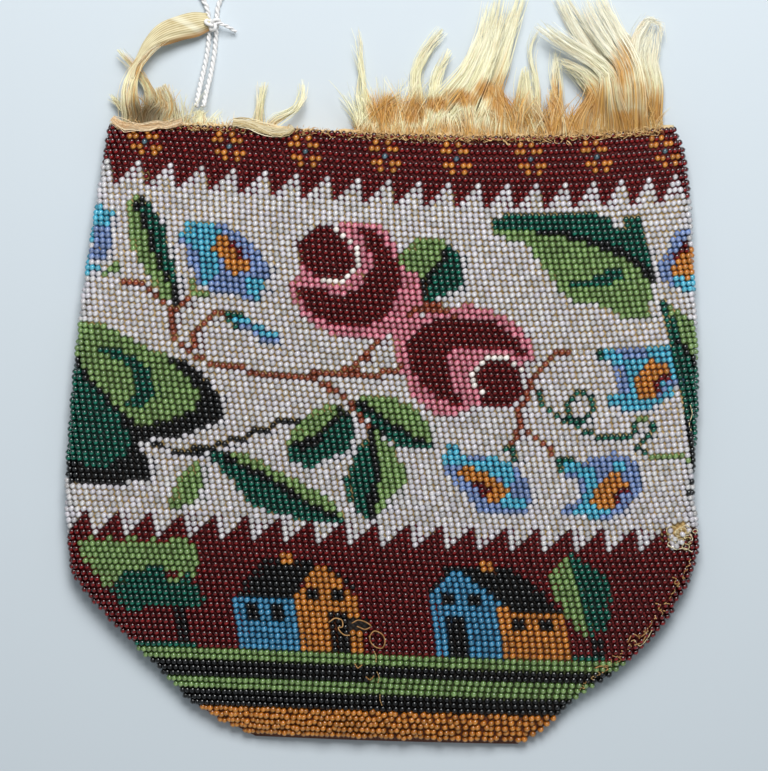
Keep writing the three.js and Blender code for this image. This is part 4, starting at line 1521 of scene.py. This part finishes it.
# %% [markdown]
# ## Tufts and fuzz
#
# Between the locks the warp has broken off short and stands up in tufts, most of them along the right half.
# Fuzz from the rubbed hem hides its edge. Both are bent fibres: a root on the mouth, a tip and a knee
# between them, with chance in each. That is less work than combing, and it can be repeated.

# %% Tufts and fuzz
TUFTS = [(200, 15, 0.44, 1.0, 14), (90, 15, 0.44, 0.66, 17), (22, 12, 0.0, 0.12, 11), (14, 8, 0.12, 0.3, 6)]
FUZZ = [(520, -0.02, 0.44, 1.5), (920, 0.44, 1.01, 1.8)]
FRONT_SHARE = 0.6
TUFT_TALL = (0.3, 1)
TUFT_LEAN = 0.35
TUFT_SPREAD = (0.8, 0.4, 0.3)
FIBRE_TALL = (0.4, 1.1)
FIBRE_LEAN = 0.18
TIP_DROP = 0.2
LOWEST_TIP = 0.4
KNEE_LEAN = 0.2
KNEE_TALL = 0.55
KNEE_LIFT = 0.4
FUZZ_SPREAD = 0.5
FUZZ_LIFT = 0.8
FUZZ_TURN = (-0.9, 4.0)
FUZZ_LENGTH = (0.4, 1.2)
FUZZ_CURL = 0.35


def bent(root, knee, tip):
    """Fibres from root to tip that are drawn toward their knees."""
    t = steps[None, :, None]
    return (1 - t) ** 2 * root[:, None] + 2 * t * (1 - t) * knee[:, None] + t**2 * tip[:, None]


def tufts(count, fibres, left, right, reach):
    """Tufts of short fibres that stand up along a stretch of the mouth."""
    share = rng.uniform(left, right, count)
    root = np.where(rng.random((count, 1)) < FRONT_SHARE, on_mouth(share, "front"), on_mouth(share, "back"))
    tall, lean = reach * rng.uniform(*TUFT_TALL, count), rng.normal(0, TUFT_LEAN, count)
    root, tall, lean = (np.repeat(part, fibres, axis=0) for part in (root, tall, lean))
    root = root + rng.normal(0, 1, root.shape) * TUFT_SPREAD
    tall = tall * rng.uniform(*FIBRE_TALL, len(tall))
    lean = lean + rng.normal(0, FIBRE_LEAN, len(tall))
    tip = root + np.stack([lean * tall, tall, -TIP_DROP * tall], axis=1)
    tip[:, 2] = np.maximum(tip[:, 2], LOWEST_TIP)
    knee = root + np.stack([KNEE_LEAN * lean * tall, KNEE_TALL * tall, KNEE_LIFT + 0 * tall], axis=1)
    return bent(root, knee, tip)


def fuzz(count, left, right, reach):
    """Short curled fibres that lie every way over the rim."""
    root = on_mouth(rng.uniform(left, right, count), "front")
    root = root + rng.normal(0, FUZZ_SPREAD, (count, 3)) * [1, 1, 0.3]
    root[:, 2] += FUZZ_LIFT
    turn, length = rng.uniform(*FUZZ_TURN, count), reach * rng.uniform(*FUZZ_LENGTH, count)
    tip = root + np.stack([length * np.cos(turn), 0.8 * length * np.sin(turn), 0.1 * length], axis=1)
    knee = (root + tip) / 2 + rng.normal(0, FUZZ_CURL, (count, 3)) * length[:, None]
    knee[:, 2] = root[:, 2] + 0.4 * length
    return bent(root, knee, tip)


fuzz_look = thread_material("rim_fuzz", paint(172, 124, 66), paint(236, 198, 136))
rim_tufts = silk_piece("rim_tufts", [tufts(*stretch) for stretch in TUFTS])
rim_fuzz = silk_piece("rim_fuzz", [fuzz(*stretch) for stretch in FUZZ], fuzz_look)

# %% [markdown]
# ## The hem
#
# What is left of the band is a thin rolled edge round the mouth: rings over the rim, lifted and gathered a
# little by sine waves of unlike lengths, so that no gather repeats. In two places on the left it has come
# undone and folded down over the first courses. A folded sheet would look too stiff there, so we lay a
# strip of fibres on the beads. The ways of the strips are points of the picture with half a width.

# %% Hem and its folds
HEM_POINTS = 120
HEM_SHARES = np.linspace(0, 1, HEM_POINTS + 1)[:-1]
HEM_ROLL = [
    (0.8, 0.0, 0.0), (0.65, 0.5, 0.12), (1.0, 1.0, 0.22), (2.7, 1.0, 0.22), (3.0, 0.5, 0.12), (3.0, 0.0, 0.0),
]
FOLD_FIBRES = 130
FOLD_LIFT = 0.4
FOLD_WAVE = 0.45
LEFT_FOLD = [
    (112, 118, 1.2), (120, 125, 2.2), (128, 128, 3), (136, 127, 2.2), (146, 129, 2.8), (156, 126, 2.2),
    (168, 127, 1.8), (183, 122, 0.8),
]
MIDDLE_FOLD = [(234, 123, 2), (250, 125, 3), (262, 129, 3), (275, 133, 3), (288, 133, 2.5), (294, 129, 1)]


def hem_ring(depth, rise, ruffle):
    """A ring over the rim, lifted, with the small uneven gathers of a hem."""
    ring = np.concatenate([course_line(FIRST_COURSE, side, depth, HEM_SHARES) for side in ("front", "back")])
    k = np.arange(len(ring))
    gathers = ruffle * (np.sin(0.9 * k) + np.sin(0.37 * k + 1) + 0.8 * np.sin(1.7 * k + 2) * np.sin(0.11 * k))
    return ring + np.stack([0 * gathers, rise + gathers, 0.5 * np.abs(gathers)], axis=1) * MM


def front_height(x, y):
    """Height of the front at a place on the table, all in millimetres."""
    left = smooth(LEFT_EDGE, y) - BAG_WIDTH / 2
    right = BAG_WIDTH / 2 - smooth(RIGHT_EDGE, y)
    s = np.clip((2 * x - left - right) / (right - left), -1, 1)
    top = crown_at(y)
    return top * (FOLD_LEVEL + (1 - FOLD_LEVEL) * np.sqrt(1 - np.abs(s) ** CROWN_POWER))


def over_front(across, down, lift):
    """Places on the front of the bag, in metres, from points of the picture and a lift in millimetres."""
    x, y = from_picture(np.asarray(across, float), np.asarray(down, float))
    return np.stack([x, y, (front_height(x / MM, y / MM) + lift) * MM], axis=-1)


def hem_fold(name, way, look):
    """A torn strip of hem that lies over the front: fibres along its way, spread over its width."""
    across, down, half = along(way, FIBRE_STEPS).T
    middle = over_front(across, down, FOLD_LIFT) / MM
    level, _ = cross_ways(middle[None])
    seat = rng.uniform(-1, 1, (FOLD_FIBRES, 1)) * half * POINT / MM + waves(FOLD_FIBRES, FOLD_WAVE)
    lines = middle + level * seat[..., None]
    lines[..., 2] += rng.uniform(0, FOLD_LIFT, (FOLD_FIBRES, 1))
    return silk_piece(name, [lines], look)


hem_look = thread_material("hem_silk", paint(222, 180, 130), paint(252, 234, 198))
cream_look = thread_material("cream_thread", paint(206, 182, 124), paint(240, 228, 194))
hem_rings = [hem_ring(*ring) for ring in HEM_ROLL]
points, triangles, sheet = skin(hem_rings[::-1], capped=False)
hem = add_piece("silk_hem", points, triangles, heading_look, sheet)
hem_folds = [
    hem_fold("hem_fold_left", LEFT_FOLD, hem_look), hem_fold("hem_fold_middle", MIDDLE_FOLD, cream_look),
]
print("hem of", len(hem.data.polygons), "triangles with", len(hem_folds), "folds")

# %% [markdown]
# ## The scrap that kept its weave
#
# At the upper left one strip of the band still holds together. It starts twisted and thin, opens into a flat
# scrap with a soft crease, and ends ragged. Fibres would let the table show through, so it is a sheet along
# a way of picture points, each with half a width and a height, and it bends across as paper does. Streaks
# of the weave are in its finish, and so is painted shade along its folded near edge.

# %% Silk scrap
OLD_SILK = paint(178, 158, 110)
SCRAP_COLOUR = paint(232, 222, 182)
# Brown of the painted shade along the folded near edge.
FOLDED_EDGE_SHADE = paint(150, 108, 58)
SCRAP = [
    (132, 78, 3, 6.4), (135, 66, 3, 5.9), (140, 56, 3.6, 5.4), (148, 45, 6.6, 5), (163, 33.5, 11.5, 4.4),
    (179, 27, 12.5, 3.6), (196, 22.5, 12.5, 2.8), (209, 19.5, 8.5, 2.4),
]
SCRAP_STEPS = 60
SCRAP_SEATS = 17
SCRAP_ROUGHNESS = 0.5
SCRAP_GRAIN = 140.0
SCRAP_MOTTLE = 1.2
SCRAP_RANGE = (0.1, 0.9)
STREAKS = 70.0
STREAK_TONE = 0.22
STREAK_WANDER = 9.0
WANDER_GRAIN = 90.0
CREASE_SLANT = 0.24
CREASE_SHARE = 0.45
CREASE_RISE = (0.62, 0.67)
CREASE_FALL = (0.76, 0.69)
# Strength and reach of the painted shade along the folded near edge.
EDGE_SHADE_SHARE = 0.9
EDGE_SHADE_RISE = (0.72, 0.96)
BEND_HEIGHT = 1.3
BEND_TURN = 1.3
BEND_MIDDLE = 0.15
FULL_BEND_WIDTH = 8
CRINKLE_HEIGHT = 0.14
CRINKLES = 11
RAGGED_END = (-1.2, 0.5)


def scrap_silk(name):
    """Silk that kept its weave: streaks along it, and brown painted shade along its folded near edge."""
    made, shader, start = material(name, SCRAP_ROUGHNESS)
    shader.inputs["Specular IOR Level"].default_value = SILK_SHINE
    sheet = start.node("ShaderNodeUVMap", {"uv_map": "OFBake"})
    across = sheet.part("Y")
    streaks = (across * STREAKS + STREAK_WANDER * noise(start, WANDER_GRAIN)).sine()
    tone = 0.5 + STREAK_TONE * streaks + SCRAP_MOTTLE * (noise(start, SCRAP_GRAIN) - 0.5)
    tone = tone.ramp(*SCRAP_RANGE)
    fold = sheet.part("X") - CREASE_SLANT * across
    crease = CREASE_SHARE * fold.ramp(*CREASE_RISE) * fold.ramp(*CREASE_FALL)
    fresh = crease.mix(tone.mix(OLD_SILK, SCRAP_COLOUR), PALE_CREAM)
    # Painted shade along the folded near edge.
    edge = EDGE_SHADE_SHARE * across.ramp(*EDGE_SHADE_RISE)
    start.feed(edge.mix(fresh, FOLDED_EDGE_SHADE), shader.inputs["Base Color"])
    return made


def silk_scrap(name, way, look):
    """A strip that is thin where it is twisted, then a flat scrap bent along its length."""
    across, down, half, level = along(way, SCRAP_STEPS).T
    middle = np.stack([*from_picture(across, down), level * MM], axis=1)
    toward, _ = cross_ways(middle[None])
    seat = np.linspace(-1, 1, SCRAP_SEATS)
    gone = np.linspace(0, 1, SCRAP_STEPS)[:, None]
    points = middle[:, None] + toward[0][:, None] * (half[:, None] * seat * POINT)[..., None]
    crinkle = CRINKLE_HEIGHT * np.sin(CRINKLES * seat + 3 * np.sin(5 * gone))
    bend = BEND_HEIGHT * np.cos(BEND_TURN * (seat - BEND_MIDDLE)) - 1 + crinkle
    points[..., 2] += bend * np.minimum(half[:, None] / FULL_BEND_WIDTH, 1) * MM
    points[-1, :, 0] += rng.uniform(*RAGGED_END, SCRAP_SEATS) * MM
    i, j = np.meshgrid(np.arange(SCRAP_STEPS - 1), np.arange(SCRAP_SEATS - 1), indexing="ij")
    a, d = i * SCRAP_SEATS + j, (i + 1) * SCRAP_SEATS + j
    triangles = np.stack([a, a + 1, d + 1, a, d + 1, d], axis=-1).reshape(-1, 3)
    lengthwise = triangles // SCRAP_SEATS / (SCRAP_STEPS - 1)
    crosswise = triangles % SCRAP_SEATS / (SCRAP_SEATS - 1)
    sheet = np.stack([lengthwise, crosswise], axis=-1)
    return add_piece(name, points.reshape(-1, 3), triangles, look, sheet.reshape(-1, 2))


scrap = silk_scrap("silk_scrap", SCRAP, scrap_silk("scrap_silk"))
print("scrap of", len(scrap.data.polygons), "triangles")

# %% [markdown]
# ## Loose threads
#
# Where beads have dropped off, the knitting silk has come out in loops. Beside the left house there is
# a small hole with two loops, on the right fold the stitches have run, and the lower right seam was
# darned. The large loops are followed one by one, as ways over the front in points of the picture, and
# the small ones fall by chance within the run. Threads of one colour make one piece.

# %% Threads
THREAD_LIFT = 0.5
THREAD_STEPS = 40
THREAD_SIDES = 6
THREAD_WAVE = 0.25 * MM
THREAD_WAVE_STEP = 0.7
TAN_RADIUS = 0.17 * MM
CREAM_RADIUS = 0.12 * MM
DARN_RADIUS = 0.11 * MM
TAN_THREADS = [
    [(329, 621), (336, 617), (342, 619), (342, 626), (339, 626), (345, 634), (350, 634)],
    [(369, 636), (374, 630), (382, 633), (385, 641), (382, 647), (376, 646), (370, 639), (370, 635)],
    [(352, 622), (358, 619), (366, 621), (371, 625), (366, 628), (357, 625)],
    [(355, 663), (358, 667), (362, 664)],
    [(366, 676), (370, 679), (374, 675)],
    [(672, 577), (676, 579), (674, 583), (679, 584)],
    [(655, 603), (660, 605), (658, 609), (665, 611)],
    [(627, 642), (633, 634), (640, 637), (646, 633), (641, 643), (634, 645)],
    [(617, 656), (621, 660), (616, 663)],
    [(595, 668), (601, 666), (608, 669), (602, 673)],
]
FINE_THREADS = [
    [(374, 650), (376, 655), (376, 661)],
    [(377, 671), (379, 676), (378, 682)],
    [(380, 694), (380, 699), (382, 705)],
]
DARNED_SEAM = [(690, 562), (680, 583), (662, 608), (640, 636), (612, 662), (576, 692)]
CREAM_THREADS = [
    [(668, 545), (675, 549), (684, 548), (692, 552)],
    [(690, 405), (692, 414), (689, 424), (691, 431)],
    [(634, 640), (640, 646), (647, 639), (652, 630)],
]
RUN_STITCHES = [(668, 526), (696, 547)]
LOOPS = 13
LOOP_POINTS = 9
LOOP_TURN = (3.5, 6)
LOOP_RADIUS = (1.5, 5.5)
DARNS = 22
DARN_STEPS = 20
DARN_REACH = 12
DARN_POINTS = 4
DARN_SPREAD = 1.4


def thread_piece(name, ways, look, radius):
    """Threads over the beads as one piece."""
    lines = np.array([along(over_front(*np.array(way, float).T, THREAD_LIFT), THREAD_STEPS) for way in ways])
    lines[..., 2] += THREAD_WAVE * np.sin(np.arange(THREAD_STEPS) * THREAD_WAVE_STEP)
    points, triangles = tube(lines, np.full(lines.shape[:2], radius), THREAD_SIDES)
    add_piece(name, points, triangles, look)


tan_look = thread_material("tan_thread", paint(150, 100, 52), paint(206, 160, 100))
seam = along(DARNED_SEAM, DARN_STEPS * DARNS)
starts = range(0, DARN_STEPS * DARNS, DARN_STEPS)
darns = []
for first in starts:
    stitch = seam[first:first + DARN_REACH:DARN_REACH // DARN_POINTS]
    darns.append(stitch + rng.normal(0, DARN_SPREAD, (DARN_POINTS, 2)))
loops = []
for middle in rng.uniform(*RUN_STITCHES, (LOOPS, 2)):
    turn = rng.uniform(0, 6) + np.linspace(0, rng.uniform(*LOOP_TURN), LOOP_POINTS)
    loops.append(middle + rng.uniform(*LOOP_RADIUS) * np.stack([np.cos(turn), 0.8 * np.sin(turn)], axis=1))
thread_piece("tan_threads", TAN_THREADS, tan_look, TAN_RADIUS)
thread_piece("darning_threads", FINE_THREADS + darns, fuzz_look, DARN_RADIUS)
thread_piece("cream_threads", CREAM_THREADS + loops, cream_look, CREAM_RADIUS)
print(len(TAN_THREADS), "tan threads,", len(darns), "darns and", len(loops), "loops in the run")

# %% [markdown]
# ## Hanging beads
#
# A few pearls still hang on the run stitches, and one ochre bead by the hole has turned on its thread. They
# are the same beads as all the others, so the same helper places them, now with directions of their own.

# %% Hanging beads
HANGING_BEADS = [(674, 539), (681, 542), (676, 546), (682, 534), (674, 521), (679, 519)]
HANGING_LIFT = 0.2
TURNED_BEAD = (360, 633)
TURNED_LIFT = 0.3
hanging = over_front(*np.array(HANGING_BEADS, float).T, HANGING_LIFT)
turn = rng.uniform(0, 2 * math.pi, len(hanging))
flat_way = np.stack([np.cos(turn), np.sin(turn), 0 * turn], axis=1)
cross_way = np.stack([-np.sin(turn), np.cos(turn), 0 * turn], axis=1)
upright = np.tile([0.0, 0.0, 1.0], (len(hanging), 1))
bead_piece("hanging_pearl_beads", glass[PEARL], FRONT_BEAD, hanging, flat_way, cross_way, upright)
turned = over_front([TURNED_BEAD[0]], [TURNED_BEAD[1]], TURNED_LIFT)
bead_piece("turned_ochre_bead", glass[OCHRE], FRONT_BEAD, turned, flat_way[:1], upright[:1], cross_way[:1])
print(len(HANGING_BEADS), "hanging beads and a turned one")

# %% [markdown]
# ## Cloth facts
#
# Two pieces are sheets of cloth. The lining is a strip folded at the base and sewn up its sides. The hem is
# the strip that is left of the heading, once round the mouth.

# %% [markdown]
# ## Table and light
#
# A pale table, one soft window beyond the rim and a little light from everywhere else. The far light
# gives each bead its small highlight and puts a soft shadow under the near edges. A sky picture would put
# strange glints into the glass, so two plain lamps and an even room do.

# %% Stage
TABLE = paint(211, 220, 226)
TABLE_HALF = 3
TABLE_LEVEL = -0.0002
TABLE_ROUGHNESS = 0.9
TABLE_SHINE = 0.1
ROOM_LIGHT = (0.88, 0.95, 1.0, 1.0)
ROOM_STRENGTH = 0.27


def area_light(name, place, aim, size, power):
    """A square soft light that looks at a point."""
    lamp = bpy.data.lights.new(name, "AREA")
    lamp.size = size
    lamp.energy = power
    made = bpy.data.objects.new(name, lamp)
    bpy.context.scene.collection.objects.link(made)
    made.location = place
    toward = unit(np.array(aim) - np.array(place))
    made.rotation_euler = (math.acos(-toward[2]), 0, math.atan2(toward[1], toward[0]) - math.pi / 2)


area_light("window", place=(0.04, 0.46, 0.58), aim=(0, 0, 0), size=0.4, power=5.3)
area_light("ceiling", place=(0.1, 0.1, 1.3), aim=(0, 0, 0), size=1.2, power=0.8)
world = bpy.data.worlds.new("room")
bpy.context.scene.world = world
world.use_nodes = True
world.node_tree.nodes["Background"].inputs["Color"].default_value = ROOM_LIGHT
world.node_tree.nodes["Background"].inputs["Strength"].default_value = ROOM_STRENGTH

table_look, table_shader, _ = material("pale_table", TABLE_ROUGHNESS)
table_shader.inputs["Base Color"].default_value = TABLE
table_shader.inputs["Specular IOR Level"].default_value = TABLE_SHINE
table_mesh = bpy.data.meshes.new("table")
corners = [(TABLE_HALF * across, TABLE_HALF * up, 0) for across, up in ((-1, -1), (1, -1), (1, 1), (-1, 1))]
table_mesh.from_pydata(corners, [], [(0, 1, 2, 3)])
table_mesh.materials.append(table_look)
table_top = bpy.data.objects.new("table", table_mesh)
table_top.location = (0, 0, TABLE_LEVEL)
bpy.context.scene.collection.objects.link(table_top)
table_top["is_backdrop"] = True
print("table and lights ready")

# %% [markdown]
# ## Sizes and finish
#
# Last we measure the box that the dressed purse fills, and count its triangles.

# %% Sizes and finish
low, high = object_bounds()
count = sum(len(piece.data.polygons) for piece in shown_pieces() if piece.type == "MESH")
print("triangles in all:", count)
